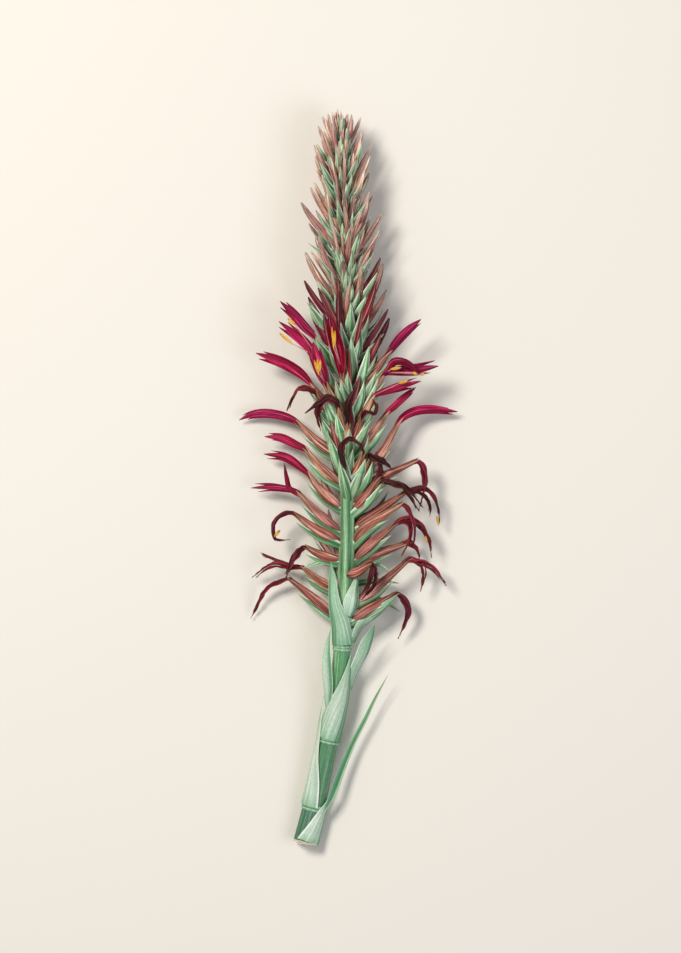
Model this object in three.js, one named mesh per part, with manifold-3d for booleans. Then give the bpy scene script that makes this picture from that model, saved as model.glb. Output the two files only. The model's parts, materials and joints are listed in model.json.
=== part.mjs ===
// Pitcairnia latifolia: one cut flower spike, lying on its back side with its front up.
// Millimetres. The stalk runs along +Y, +Z is up, and the origin ends up under the middle of the whole spike.
import * as THREE from "three";
import { mergeVertices } from "three/addons/utils/BufferGeometryUtils.js";
import Module from "manifold-3d";

const wasm = await Module();
wasm.setup();
const { Manifold, Mesh } = wasm;
const { lerp, clamp, degToRad } = THREE.MathUtils;

// Gap between neighbouring pieces, and the least half thickness of a blade
const clearance = 0.35;
const bladeHalf = 0.45;

// Joining: detail smoothed away, vertices joined, how far past a tip a cut reaches in clearances,
// and the most of a shoot that may cross the flowers
const slack = 0.1;
const weld = 1e-3;
const tipReach = 3;
const mostCrossed = 0.2;

// The stalk: points of its middle line from the cut end to the tip, in order of their Y
const stalkLine = [
  [-24, 0, 6.2], [-17.4, 26, 7.6], [-10.2, 59, 10.6], [-4.2, 86, 13.6], [-1.8, 116, 17.5], [0, 146, 21],
  [1.2, 176, 23.4], [1.8, 206, 24.8], [1.2, 236, 25.5], [2.4, 296, 26], [0, 356, 26], [-2.4, 416, 25],
  [-4.2, 436, 25],
];
// Its radius: pairs of Y and radius
const stalkGirth = [
  [0, 7], [30, 6.5], [62, 5.8], [116, 5.1], [165, 4.7], [206, 4.3], [285, 3.3], [345, 2.4], [416, 1.4],
  [436, 0.9],
];
const stalkEnd = 426;
const stalkSides = 8;
const stalkStep = 24;
const nodeRings = [20, 61, 117, 134];
const ringRise = 0.55;
const ringHalfLength = 1.4;

// Spiral of the shoots: golden angle between two, spacing along the stalk in each zone
const goldenAngle = 137.508;
const firstTurn = 20;
const budZone = { start: 285, count: 76, pitch: 2.3, pitchAtTip: 1.5 };
const flowerZone = { start: 165, pitch: 2.45 };
const lowerZone = { start: 135, pitch: 4.5 };

// Shoots against Y along the stalk: pairs of Y and value
const budLength = [[285, 41], [345, 35], [395, 30], [412, 25], [422, 15.5], [428, 12]];
const budLean = [[285, 37], [345, 36], [395, 33], [412, 29], [422, 16], [428, 5]];
const budRadius = [[285, 2.1], [345, 1.8], [416, 1.2], [428, 1]];
const bractLength = [[135, 27], [200, 25], [300, 24], [400, 17], [428, 11]];
const bractHalfWidth = [[135, 4.2], [200, 3.6], [300, 3], [400, 2], [428, 1.2]];

// The front column of the flower zone has large bracts, and the underside has spent calyces;
// shoots lie flatter by a share of their lean where they face up or down
const frontHalfAngle = 50;
const frontBract = { from: 203, length: 29, halfWidth: 4, lean: 27 };
const flatterAbove = 0.22;
const flatterBelow = 0.3;
const undersideCosine = -0.2;
const undersideShoot = { length: 25, radius: 2.3, lean: 44 };
const bractExtraLean = 7;
const bractDrop = 2.6;
const flowerBractDrop = 4.5;

// Calyx and petals
const calyxRadius = 2.7;
const petalHalfWidth = 2.7;
const petalEndSpread = 2.4;
const petalSeat = 3;
const strandHalfWidth = 1.5;
const stamenRadius = 0.45;
const antherRadius = 1;

// Fresh flowers: root as Y and turn round the stalk (0 up, 90 towards +X), mouth of the calyx,
// then the petals' course
const freshFlowers = [
  {
    root: [283, -75], mouth: [-17, 302.5, 30],
    course: [[-23.5, 309, 31], [-31, 317.5, 31], [-39, 325, 30]],
  },
  {
    root: [267, -55], mouth: [-14.5, 289, 37], course: [[-22, 297.5, 39], [-30, 305, 39], [-39.5, 312.5, 38]],
    stamens: [
      [[-25, 300, 42], [-29.5, 309, 45], [-34, 314.5, 45]], [[-25, 298, 40], [-31, 299, 41],
      [-39, 305.5, 40]],
    ],
  },
  {
    root: [255, -35], mouth: [-11.5, 275, 44], course: [[-14, 282.5, 49], [-17, 291.5, 52], [-19, 300, 52]],
    halfWidth: 4, stamens: [[[-13, 278, 49], [-15.5, 281.5, 55], [-17, 288.5, 58]]],
  },
  {
    root: [257, -95], mouth: [-20, 275, 27],
    course: [[-27, 282, 27], [-39, 289, 26], [-53.5, 294, 25]], halfWidth: 3.3,
  },
  {
    root: [267, -5], mouth: [-2, 281.5, 42], course: [[-4, 294.5, 48], [-7, 305, 50], [-9.5, 316, 50]],
    halfWidth: 5, stamens: [[[-3, 288, 48], [-5, 297, 54], [-8, 308.5, 57]]],
  },
  {
    root: [231, -90], mouth: [-28, 252, 20],
    course: [[-36, 256, 16.5], [-47.5, 258, 12], [-57, 257, 9], [-64, 254, 6]],
  },
  {
    root: [215, -85], mouth: [-23.5, 236, 24],
    course: [[-29.5, 239, 23], [-38.5, 243, 19], [-48.5, 244, 15]],
  },
  {
    root: [201, -100], mouth: [-22, 221, 20],
    course: [[-27, 225.5, 19], [-36, 231.5, 16], [-49, 233.5, 13]],
  },
  {
    root: [187, -90], mouth: [-27.5, 210, 22], course: [[-33, 212, 20], [-44, 213.5, 16], [-57, 213, 12]],
    extra: [[-33, 212.5, 20], [-35, 219, 25], [-36.5, 228, 27]],
  },
  {
    root: [271, 75], mouth: [26.5, 294.5, 33],
    course: [[31, 300.5, 34], [38.5, 308.5, 35], [45.5, 314, 35]],
  },
  {
    root: [259, 60], mouth: [23.5, 281.5, 38], course: [[33, 283, 39], [44, 284, 37], [56, 286, 34]],
    extra: [[25, 282.5, 40], [30, 288.5, 45], [38, 287, 45], [44, 281, 42]],
    stamens: [[[26, 282, 42], [27.5, 283, 48], [33.5, 283.5, 49]]],
  },
  {
    root: [247, 60], mouth: [17, 268, 38],
    course: [[24.5, 271, 39], [34, 274, 38], [45.5, 277, 35]], halfWidth: 2.2,
  },
  {
    root: [233, 80], mouth: [25, 258, 31],
    course: [[29.5, 262, 31], [35.5, 267.5, 30], [42.5, 273.5, 28]], halfWidth: 2.2,
  },
  {
    root: [219, 95], bend: [20.5, 232, 23], mouth: [32.5, 253, 22],
    course: [[40, 258.5, 19], [52, 260.5, 14], [68, 259, 9]],
  },
];

// Spent flowers: as above, and each strand is one withered petal
const spentFlowers = [
  {
    root: [248, -60], mouth: [-17, 269.5, 34],
    strands: [[[-23.5, 273, 36], [-28, 272.5, 34], [-32.5, 266, 30], [-35, 259, 27]]],
  },
  {
    root: [242, -20], mouth: [-4, 260.5, 41],
    strands: [[[-6, 265, 44.5], [-11, 267, 46], [-16.5, 263.5, 46], [-24, 257.5, 42]]],
  },
  { root: [235, 8], mouth: [2, 251.5, 39], strands: [[[2, 257, 42], [2.5, 264, 44], [8, 274, 45]]] },
  {
    root: [238, 45], mouth: [10, 255, 38],
    strands: [[[12.5, 258, 40], [18, 257.5, 41], [19, 262, 40], [16, 266.5, 39]]],
  },
  {
    root: [218, 35], mouth: [11, 234, 42],
    strands: [[[8, 239.5, 45], [3, 242.5, 47.5], [-1.5, 238.5, 48.5], [-1, 230.5, 47.5], [0.5, 223, 46]]],
  },
  { root: [208, 60], mouth: [14, 232, 36], strands: [[[17, 231.5, 38], [21, 230, 38], [28, 224.5, 35]]] },
  {
    root: [199, 55], bend: [11.5, 206, 32], mouth: [20, 219, 32],
    strands: [[[21, 224, 33], [20.5, 228.5, 33], [18.5, 234.5, 33]]],
  },
  {
    root: [208, 88], bend: [20, 218, 27], mouth: [42.5, 229, 24],
    strands: [[[45.5, 227.5, 24], [48, 218, 21], [44.5, 200, 17]]],
  },
  {
    root: [204, 70], mouth: [21.5, 216.5, 33],
    strands: [
      [[27, 216.5, 34], [34.5, 213, 32.5], [44.5, 199, 27]],
      [[30.5, 215.5, 32], [38, 212.5, 31], [47, 201, 26]],
    ],
  },
  {
    root: [189, 90], bend: [12.5, 194, 24], mouth: [35.5, 210, 22],
    strands: [
      [[40, 212, 22], [49, 212, 19], [55, 204, 16], [57, 191.5, 12]],
      [[45, 210.5, 20], [51.5, 203, 17], [51, 195.5, 15]],
    ],
  },
  {
    root: [179, 75], bend: [9.5, 186.5, 27], mouth: [33.5, 203, 28],
    strands: [[[36.5, 201, 28], [41, 190, 26], [41, 177, 22]]],
  },
  {
    root: [169, 85], bend: [10, 174, 24], mouth: [30.5, 192, 24],
    strands: [
      [[34, 194, 24], [42, 193, 22], [50, 183, 19], [52, 171, 15]],
      [[38, 192.5, 23], [39, 182, 20], [34, 172, 17]],
    ],
  },
  {
    root: [161, 115], bend: [14, 170.5, 18], mouth: [38, 180, 14],
    strands: [[[41, 178, 13], [44, 174, 12], [44.5, 168.5, 10]]],
  },
  {
    root: [161, 15], mouth: [15.5, 168, 36],
    strands: [
      [[17.5, 165, 37], [18, 158, 36], [10, 146, 32]],
      [[16, 161, 36], [13, 153, 34], [8, 147, 32]],
    ],
  },
  {
    root: [143, 80], bend: [15, 150, 22], mouth: [38, 170, 22],
    strands: [
      [[42.5, 169, 22], [51, 166, 20], [61, 154, 14]],
      [[46, 167, 20], [47.5, 160, 17], [45.5, 150.5, 13]],
    ],
  },
  {
    root: [133, 80], bend: [11.5, 137.5, 21], mouth: [30.5, 149, 18],
    strands: [[[34, 147.5, 18], [38, 140, 16], [32, 122, 9]]],
  },
  {
    root: [170, -90], mouth: [-23.5, 177.5, 23],
    strands: [[[-26.5, 176, 23], [-32, 168.5, 22], [-36.5, 156.5, 19]]],
  },
  {
    root: [151, -95], mouth: [-25, 165, 17],
    strands: [
      [[-29.5, 166, 17], [-40, 170, 16], [-51, 174, 13]],
      [[-32, 165, 17], [-43, 167, 16], [-56, 159, 10]],
    ],
  },
  {
    root: [135, -85], bend: [-11.5, 140.5, 18], mouth: [-33.5, 158.5, 14],
    strands: [[[-37, 158, 14], [-47, 153, 11], [-53, 142, 6], [-57, 134, 3]]],
  },
  {
    root: [181, -85], mouth: [-30, 197.5, 25],
    strands: [[[-35.5, 198.5, 26], [-43, 193, 25], [-42, 182, 22], [-32.5, 182, 21]]],
  },
];

// Flowers of the underside, whose petals lie on the surface and carry the spike
const restingFlowers = [
  {
    root: [262, -140], mouth: [-13, 277, 8],
    strands: [[[-15.5, 284, 3], [-17.5, 292, 0.6], [-18.5, 300, 0.3]]],
  },
  { root: [258, 140], mouth: [14, 273, 8], strands: [[[17, 281, 3], [19, 289, 0.6], [20, 297, 0.3]]] },
  { root: [228, 178], mouth: [2, 243, 6], strands: [[[2.5, 250, 3], [4, 257, 1.2], [6, 264, 1]]] },
];

// Sheath bracts, from the ring that each clasps to its tip: stations as Y, distance from the stalk's
// surface and half angle of the curl. Base and tip each have a turn round the stalk and a turn of the face
const sheathBracts = [
  {
    turn: [-72, -72], face: [-72, -72],
    stations: [[21, 2, 88], [37.5, 2, 68], [54, 2.2, 36], [70.5, 3.3, 14], [87, 4.5, 4]],
  },
  {
    turn: [0, 58], face: [0, 58],
    stations: [[62, 2, 98], [75, 2, 96], [88, 2.1, 62], [101, 2.2, 28], [114, 2.6, 4]],
  },
  {
    turn: [-55, -55], face: [-40, -22],
    stations: [[84, 2.2, 14], [95, 3.8, 38], [106, 5.2, 36], [117, 5.8, 20], [128.5, 4.7, 4]],
  },
  {
    turn: [95, 62], face: [80, 30],
    stations: [[92, 2.2, 12], [102.5, 4.2, 30], [113, 8.4, 32], [123.5, 11.6, 26], [134, 16.9, 4]],
  },
  {
    turn: [-6, -58], face: [-10, -16],
    stations: [[119, 2, 92], [131.4, 2.9, 64], [143.8, 4.6, 46], [156.2, 6, 24], [168.6, 7, 4]],
  },
  {
    turn: [82, 86], face: [62, 25],
    stations: [[120, 2.2, 22], [129.8, 6.9, 48], [136.5, 14.1, 42], [143.5, 21.4, 26], [151.2, 28.2, 4]],
  },
  {
    turn: [30, 45], face: [28, 16],
    stations: [[137.4, 2.4, 26], [143.7, 2.6, 42], [150, 3, 28], [156.3, 4.2, 14], [162.6, 5, 4]],
  },
];
const sheathHalfThickness = 0.5;
const sheathStandOff = 2;

// The basal leaf: a sheath round the cut end, and a long narrow blade
const leafSheath = {
  turn: [38, 72], face: [38, 72],
  stations: [[1.5, 2, 74], [10, 2, 54], [18.5, 2, 34], [27, 2.6, 16]],
};
const leafBlade = [
  [-13, 20, 13.4], [-8, 28, 13.4], [-1.8, 43.8, 12.4], [4.8, 58.8, 12], [12.4, 73.8, 12.4],
  [18.1, 85.8, 13.2], [25.8, 100.2, 15],
];
const leafHalfWidth = 2.2;

// Colours, as seen
const colours = {
  stalk: "#7fa088", sheath: "#b9d1c0", leaf: "#8fb59b", calyx: "#a5655c", petal: "#a81745", spent: "#5a1c1b",
};

// Value at y in a list of pairs, straight between them
function along(pairs, y) {
  const next = pairs.findIndex(([at]) => at > y);
  if (next === 0) return pairs[0][1];
  if (next < 0) return pairs[pairs.length - 1][1];
  const [y0, v0] = pairs[next - 1];
  const [y1, v1] = pairs[next];
  return lerp(v0, v1, (y - y0) / (y1 - y0));
}

// Value at t, from 0 to 1, through evenly spaced values
function through(values, t) {
  const place = clamp(t, 0, 1) * (values.length - 1);
  const i = Math.min(Math.floor(place), values.length - 2);
  return lerp(values[i], values[i + 1], place - i);
}

// Middle of the stalk at y, and its directions there: along it, up from it and to its right
const lineX = stalkLine.map(([x, y]) => [y, x]);
const lineZ = stalkLine.map(([, y, z]) => [y, z]);
const tangentReach = 12;
function stalkMiddle(y) {
  return new THREE.Vector3(along(lineX, y), y, along(lineZ, y));
}
function stalkFrame(y) {
  const ahead = stalkMiddle(y + tangentReach).sub(stalkMiddle(y - tangentReach)).normalize();
  const right = new THREE.Vector3().crossVectors(ahead, new THREE.Vector3(0, 0, 1)).normalize();
  const up = new THREE.Vector3().crossVectors(right, ahead);
  return { middle: stalkMiddle(y), ahead, right, up, radius: along(stalkGirth, y) };
}
function outward(frame, turn) {
  const angle = degToRad(turn);
  return frame.right.clone().multiplyScalar(Math.sin(angle)).addScaledVector(frame.up, Math.cos(angle));
}

// A cylinder of few sides whose vertices are set by place(t, angle, reach); tip 0 closes it in a point
function bentCylinder(sides, steps, tip, place) {
  const unit = new THREE.CylinderGeometry(tip, 1, 1, sides, steps);
  unit.deleteAttribute("normal");
  unit.deleteAttribute("uv");
  const shape = mergeVertices(unit, 1e-4);
  const position = shape.attributes.position;
  const point = new THREE.Vector3();
  for (let i = 0; i < position.count; i++) {
    point.fromBufferAttribute(position, i);
    const t = point.y + 0.5;
    const ring = lerp(1, tip, t);
    const reach = ring > 0 ? Math.hypot(point.x, point.z) / ring : 0;
    place(point, t, Math.atan2(point.x, point.z), reach);
    position.setXYZ(i, point.x, point.y, point.z);
  }
  return shape;
}

// Closed geometry to solid
function solid(shape) {
  return new Manifold(new Mesh({
    numProp: 3,
    vertProperties: shape.attributes.position.array,
    triVerts: new Uint32Array(shape.index.array),
  }));
}

// Directions of a blade at t on its curve: its face and its width; a larger blade also reaches past both ends
function bladeFrame(curve, t, face, twist, grow) {
  const ahead = curve.getTangentAt(t);
  const front = face.clone().addScaledVector(ahead, -face.dot(ahead)).normalize();
  front.applyAxisAngle(ahead, degToRad(twist * t));
  const side = new THREE.Vector3().crossVectors(ahead, front);
  const past = t === 0 ? -grow : t === 1 ? tipReach * grow : 0;
  return { middle: curve.getPointAt(t).addScaledVector(ahead, past), front, side };
}

// A blade, bud or strand along a curve: half width and half thickness through their values,
// edges bent by cup towards the back, and all of it larger by grow
function sweep({ curve, face, width, thick, cup = 0, twist = 0, sides = 4, steps = 3 }, grow = 0) {
  const last = width.length - 1;
  const pointed = width[last] === 0;
  return solid(bentCylinder(sides, steps, pointed ? 0 : 1, (point, t, angle, reach) => {
    const { middle, front, side } = bladeFrame(curve, t, face, twist, grow);
    const across = (through(width, t) + grow) * Math.sin(angle) * reach;
    const bow = cup * through(width, t) * Math.abs(Math.sin(angle)) * reach;
    const depth = (through(thick, t) + grow) * Math.cos(angle) * reach - bow;
    point.copy(middle).addScaledVector(side, across).addScaledVector(front, depth);
  }));
}

// A bract that curls round the stalk: its section is an arc of even thickness
function curl({ turn, face, stations, sides = 14, steps = 4 }, grow = 0) {
  const frames = stations.map(([y]) => stalkFrame(y));
  const curve = new THREE.CatmullRomCurve3(frames.map((frame, i) => {
    const out = outward(frame, lerp(turn[0], turn[1], i / (frames.length - 1)));
    return frame.middle.clone().addScaledVector(out, frame.radius + stations[i][1]);
  }));
  const radii = frames.map((frame) => frame.radius + sheathStandOff);
  const angles = stations.map((station) => station[2]);
  const front = outward(frames[0], face[0]);
  const edge = Math.PI * 2 * Math.floor(sides / 4) / sides;
  return solid(bentCylinder(sides, steps, 0, (point, t, angle, reach) => {
    const here = bladeFrame(curve, t, front, face[1] - face[0], grow);
    const outer = Math.abs(angle) < Math.PI / 2;
    const share = (outer ? Math.abs(angle) : Math.PI - Math.abs(angle)) / edge;
    const radius = through(radii, t);
    const spread = Math.sign(angle) * share * (degToRad(through(angles, t)) + grow / radius);
    const depth = (outer ? 1 : -1) * (sheathHalfThickness + grow);
    const rim = reach > 0.5 ? radius + depth : radius;
    const turnedTo = reach > 0.5 ? spread : 0;
    point.copy(here.middle).addScaledVector(here.front, rim * Math.cos(turnedTo) - radius);
    point.addScaledVector(here.side, rim * Math.sin(turnedTo));
  }));
}

function union(solids) {
  return Manifold.union(solids);
}

// The largest body of a solid, with any sealed hollow in it filled
function largest(whole) {
  return whole.decompose().reduce((best, body) => (body.volume() > best.volume() ? body : best));
}

// The solid's geometry, with vertices closer than the weld distance joined
function welded(body) {
  const { vertProperties, triVerts } = body.getMesh();
  const shape = new THREE.BufferGeometry();
  shape.setAttribute("position", new THREE.BufferAttribute(vertProperties, 3));
  shape.setIndex(new THREE.BufferAttribute(triVerts, 1));
  return mergeVertices(shape.toNonIndexed(), weld);
}

// One sound body: above the surface, slivers smoothed away, loose scraps and bodies held by one edge dropped
function finish(whole) {
  const smooth = largest(whole.trimByPlane([0, 0, 1], 0).simplify(slack));
  return largest(solid(welded(smooth)));
}

function vectors(points) {
  return points.map(([x, y, z]) => new THREE.Vector3(x, y, z));
}

const up = new THREE.Vector3(0, 0, 1);
const calyxProfile = [0.36, 0.85, 1, 0.74, 0.48];

// Curve of a flower's calyx from the stalk's surface to its mouth
function calyxCurve({ root: [y, turn], bend, mouth }) {
  const frame = stalkFrame(y);
  const out = outward(frame, turn);
  const end = new THREE.Vector3(...mouth);
  const towards = end.clone().sub(frame.middle).normalize();
  const rootRadius = calyxProfile[0] * calyxRadius;
  const standOff = frame.radius + clearance + rootRadius * Math.abs(towards.dot(frame.ahead));
  const start = frame.middle.clone().addScaledVector(out, standOff);
  const sag = 1.2;
  const sagging = start.clone().lerp(end, 0.5).addScaledVector(frame.ahead, -sag);
  const middle = bend ? new THREE.Vector3(...bend) : sagging;
  return new THREE.CatmullRomCurve3([start, middle, end]);
}

function calyxSweep(flower) {
  const girth = calyxProfile.map((share) => share * calyxRadius);
  return { curve: calyxCurve(flower), face: up, width: girth, thick: girth, sides: 5, steps: 4 };
}

// Where the petals of a fresh flower start, just clear of the calyx and square to its mouth
function mouthPoints(flower) {
  const mouth = new THREE.Vector3(...flower.mouth);
  const ahead = calyxCurve(flower).getTangentAt(1);
  return [clearance, petalSeat].map((gap) => mouth.clone().addScaledVector(ahead, gap));
}

// Petals of a fresh flower: a broad upper one and two that part from it towards the end
function petalSweeps(flower) {
  const halfWidth = flower.halfWidth ?? petalHalfWidth;
  const course = vectors(flower.course);
  const route = new THREE.CatmullRomCurve3([...mouthPoints(flower), ...course]);
  const blade = (curve, share, cup, sides, steps) => ({
    curve, face: up, cup, sides, steps,
    width: [0.5, 0.75, 1, 1, 0.7, 0].map((value) => Math.max(value * halfWidth * share, value && 0.8)),
    thick: [0.8, 0.7, bladeHalf, bladeHalf, bladeHalf, 0.3],
  });
  const tip = course[course.length - 1];
  const side = new THREE.Vector3().crossVectors(route.getTangentAt(1), up).normalize();
  const lower = [-1, 1].map((hand) => {
    const end = tip.clone().addScaledVector(side, hand * petalEndSpread);
    end.addScaledVector(up, -petalEndSpread);
    end.lerp(route.getPointAt(0.5), 0.08);
    const middle = route.getPointAt(0.6).addScaledVector(side, hand * halfWidth * 0.3);
    middle.addScaledVector(up, -petalEndSpread / 2);
    return blade(new THREE.CatmullRomCurve3([route.getPointAt(0.3), middle, end]), 0.5, 0.1, 3, 2);
  });
  const inner = (points) => new THREE.CatmullRomCurve3([route.getPointAt(0.06), ...vectors(points)]);
  const extra = flower.extra ? [blade(inner(flower.extra), 0.6, 0.2, 4, 3)] : [];
  const stamens = (flower.stamens ?? []).map((points) => stamenSweep(inner(points)));
  return [blade(route, 1, 0.45, 4, 5), ...lower, ...extra, ...stamens];
}

// A filament that carries an anther at its end
function stamenSweep(curve) {
  const girth = [stamenRadius, stamenRadius, antherRadius, antherRadius, 0];
  return { curve, face: up, width: girth, thick: girth, sides: 3, steps: 4 };
}

// Withered petals that have dried on to their calyx
function strandSweeps(flower) {
  const inside = calyxCurve(flower).getPointAt(0.8);
  return flower.strands.map((points, i) => ({
    curve: new THREE.CatmullRomCurve3([inside, new THREE.Vector3(...flower.mouth), ...vectors(points)]),
    face: up, twist: i ? -120 : 120, sides: 3, steps: 5,
    width: [0.7, 0.9, 1, 0.8, 0.6, 0].map((share) => share * strandHalfWidth),
    thick: [0.9, 0.8, 0.6, 0.6, 0.6, 0.3],
  }));
}

// The bract below a flower: it follows the calyx on its outer side and cups it
function flowerBract(flower) {
  const [y, turn] = flower.root;
  const frame = stalkFrame(y - flowerBractDrop);
  const calyx = calyxCurve(flower);
  const ahead = calyx.getTangentAt(0.3);
  const lean = frame.ahead.clone().negate().addScaledVector(outward(frame, turn), 0.6);
  const back = lean.addScaledVector(ahead, -lean.dot(ahead)).normalize();
  const share = clamp(along(bractLength, y) / calyx.getLength(), 0.3, 0.95);
  const start = frame.middle.clone().addScaledVector(outward(frame, turn), frame.radius * 0.5);
  const middle = calyx.getPointAt(share * 0.45).addScaledVector(back, calyxRadius + 0.9);
  const end = calyx.getPointAt(share).addScaledVector(back, calyxRadius + 0.4);
  const halfWidth = along(bractHalfWidth, y);
  return {
    curve: new THREE.CatmullRomCurve3([start, middle, end]), face: back, cup: 0.45, steps: 2,
    width: [0.6, 1, 0].map((value) => value * halfWidth),
    thick: [0.9, bladeHalf, 0.3],
  };
}

// Where each shoot of the spiral stands: i is 0 at the lowest bud and negative below it
function shootHeight(i) {
  const { start, count, pitch, pitchAtTip } = budZone;
  if (i >= 0) return start + pitch * i - 0.5 * ((pitch - pitchAtTip) / (count - 1)) * i * i;
  const flowers = Math.round((start - flowerZone.start) / flowerZone.pitch);
  if (i >= -flowers) return start + flowerZone.pitch * i;
  return flowerZone.start + lowerZone.pitch * (i + flowers);
}
function shootTurn(i) {
  return firstTurn + i * goldenAngle + 6 * Math.sin(2.4 * i);
}

// A shoot or bract that leans from the stalk by an angle, from its root to its tip, bowed a little outwards
function leaning({ y, turn, lean, length, sink, bow }) {
  const frame = stalkFrame(y);
  const out = outward(frame, turn);
  const facing = Math.cos(degToRad(turn));
  const flatter = facing > 0 ? flatterAbove * facing : -flatterBelow * facing;
  const angle = degToRad(lean * (1 - flatter));
  const ahead = frame.ahead.clone().multiplyScalar(Math.cos(angle)).addScaledVector(out, Math.sin(angle));
  const back = out.clone().multiplyScalar(Math.cos(angle)).addScaledVector(frame.ahead, -Math.sin(angle));
  const start = frame.middle.clone().addScaledVector(out, frame.radius - sink);
  const middle = start.clone().addScaledVector(ahead, length / 2).addScaledVector(back, bow * length);
  const end = start.clone().addScaledVector(ahead, length);
  return { curve: new THREE.CatmullRomCurve3([start, middle, end]), face: back };
}

function budSweep(y, turn, { length, radius, lean }) {
  const girth = [0.7, 1, 0].map((share) => share * radius);
  const route = leaning({ y, turn, lean, length, sink: 1, bow: 0.05 });
  return { ...route, width: girth, thick: girth, sides: 3, steps: 2 };
}

function bractSweep(y, turn, { length, halfWidth, lean }) {
  return {
    ...leaning({ y: y - bractDrop, turn, lean: lean + bractExtraLean, length, sink: 1, bow: 0.1 }),
    width: [0.7, 1, 0].map((share) => share * halfWidth), thick: [0.9, 0.6, 0.3],
    cup: 0.2, sides: 3, steps: 2,
  };
}

// A bud or calyx with its bract grown on to its back, for the side that faces the surface
function cuppedSweep(y, turn, { length, radius, lean, halfWidth }) {
  return {
    ...leaning({ y: y - bractDrop / 2, turn, lean, length, sink: 1, bow: 0.06 }),
    width: [halfWidth * 0.6, halfWidth, radius, 0], thick: [1.2, radius, radius * 0.8, 0], sides: 3, steps: 3,
  };
}

// Bracts, buds and the underside's spent calyces, shoot by shoot up the spiral
function shootSweeps() {
  const sweeps = [];
  for (let i = -60; i < budZone.count; i++) {
    const y = shootHeight(i);
    const turn = shootTurn(i);
    const facing = Math.cos(degToRad(turn));
    const sway = 1 + 0.08 * Math.sin(1.7 * i);
    if (y < lowerZone.start) continue;
    if (i >= 0) {
      const lean = along(budLean, y) + 3 * Math.sin(3.1 * i);
      const halfWidth = along(bractHalfWidth, y);
      const bud = { length: along(budLength, y) * sway, radius: along(budRadius, y), lean, halfWidth };
      if (facing < 0) {
        sweeps.push(cuppedSweep(y, turn, bud));
      } else {
        sweeps.push(budSweep(y, turn, bud));
        sweeps.push(bractSweep(y, turn, { length: along(bractLength, y) * sway, halfWidth, lean }));
      }
    } else if (facing > Math.cos(degToRad(frontHalfAngle))) {
      const length = frontBract.length * sway;
      if (y > frontBract.from) sweeps.push(bractSweep(y, turn, { ...frontBract, length }));
    } else if (facing < undersideCosine) {
      sweeps.push(cuppedSweep(y, turn, { ...undersideShoot, halfWidth: along(bractHalfWidth, y) * 0.8 }));
    }
  }
  return sweeps;
}

// The bare stalk: round, with a low ring at each node
function stalkCore(grow = 0) {
  const heights = [];
  for (let y = 0; y < stalkEnd; y += stalkStep) {
    if (nodeRings.every((ring) => Math.abs(ring - y) > ringHalfLength * 3)) heights.push(y);
  }
  for (const ring of nodeRings) heights.push(ring - ringHalfLength, ring, ring + ringHalfLength);
  heights.push(stalkEnd);
  heights.sort((a, b) => a - b);
  return solid(bentCylinder(stalkSides, heights.length - 1, 1, (point, t, angle, reach) => {
    const y = heights[Math.round(t * (heights.length - 1))];
    const frame = stalkFrame(y);
    const radius = frame.radius + (nodeRings.includes(y) ? ringRise : 0) + grow;
    const half = Math.PI / stalkSides;
    point.copy(frame.middle).addScaledVector(frame.right, reach * radius * Math.sin(angle + half));
    point.addScaledVector(frame.up, reach * radius * Math.cos(angle + half));
  }));
}

// Every node as a recipe, first come first served: a later one is cut clear of those before it
const recipes = [];
function addRecipe(name, colour, make) {
  recipes.push({ name, colour, make });
}
const label = (i) => String(i + 1).padStart(2, "0");
const allFlowers = [...freshFlowers, ...spentFlowers, ...restingFlowers];
freshFlowers.forEach((flower, i) => {
  addRecipe(`corolla_${label(i)}`, colours.petal, (grow) => (
    union(petalSweeps(flower).map((part) => sweep(part, grow)))
  ));
});
freshFlowers.forEach((flower, i) => {
  addRecipe(`calyx_${label(i)}`, colours.calyx, (grow) => sweep(calyxSweep(flower), grow));
});
const witheredFlower = (flower) => (grow) => (
  union([calyxSweep(flower), ...strandSweeps(flower)].map((part) => sweep(part, grow)))
);
spentFlowers.forEach((flower, i) => {
  addRecipe(`spent_flower_${label(i)}`, colours.spent, witheredFlower(flower));
});
restingFlowers.forEach((flower, i) => {
  addRecipe(`resting_flower_${i + 1}`, colours.spent, witheredFlower(flower));
});
addRecipe("basal_leaf", colours.leaf, (grow) => union([
  curl(leafSheath, grow),
  sweep({
    curve: new THREE.CatmullRomCurve3(vectors(leafBlade)), face: up, cup: 0.3, steps: 7,
    width: [0.9, 1, 0.92, 0.72, 0.52, 0.38, 0].map((share) => share * leafHalfWidth),
    thick: [0.9, 0.6, bladeHalf, bladeHalf, bladeHalf, bladeHalf, 0.3],
  }, grow),
]));
sheathBracts.forEach((bract, i) => {
  addRecipe(`sheath_bract_${i + 1}`, colours.sheath, (grow) => curl(bract, grow));
});

// The stalk is grown last: a shoot that would mostly cross the flowers is left out, and the others
// are cut clear
function grownStalk(cutters) {
  const taken = union(cutters.map(({ grown }) => grown));
  const shoots = [...shootSweeps(), ...allFlowers.map(flowerBract)].map((part) => sweep(part));
  const clear = shoots.filter((shoot) => shoot.intersect(taken).volume() < mostCrossed * shoot.volume());
  return union([stalkCore(), union(clear).subtract(taken)]);
}

function boxesMeet(a, b) {
  const one = a.boundingBox();
  const other = b.boundingBox();
  return [0, 1, 2].every((k) => one.min[k] < other.max[k] && other.min[k] < one.max[k]);
}

const placed = [];
for (const { name, colour, make } of recipes) {
  const whole = make(0);
  const cutters = placed.filter(({ grown }) => boxesMeet(grown, whole)).map(({ grown }) => grown);
  const clear = cutters.length ? whole.subtract(union(cutters)) : whole;
  placed.push({ name, colour, body: finish(clear), grown: make(clearance) });
}
placed.push({ name: "flower_stalk", colour: colours.stalk, body: finish(grownStalk(placed)) });

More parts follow.
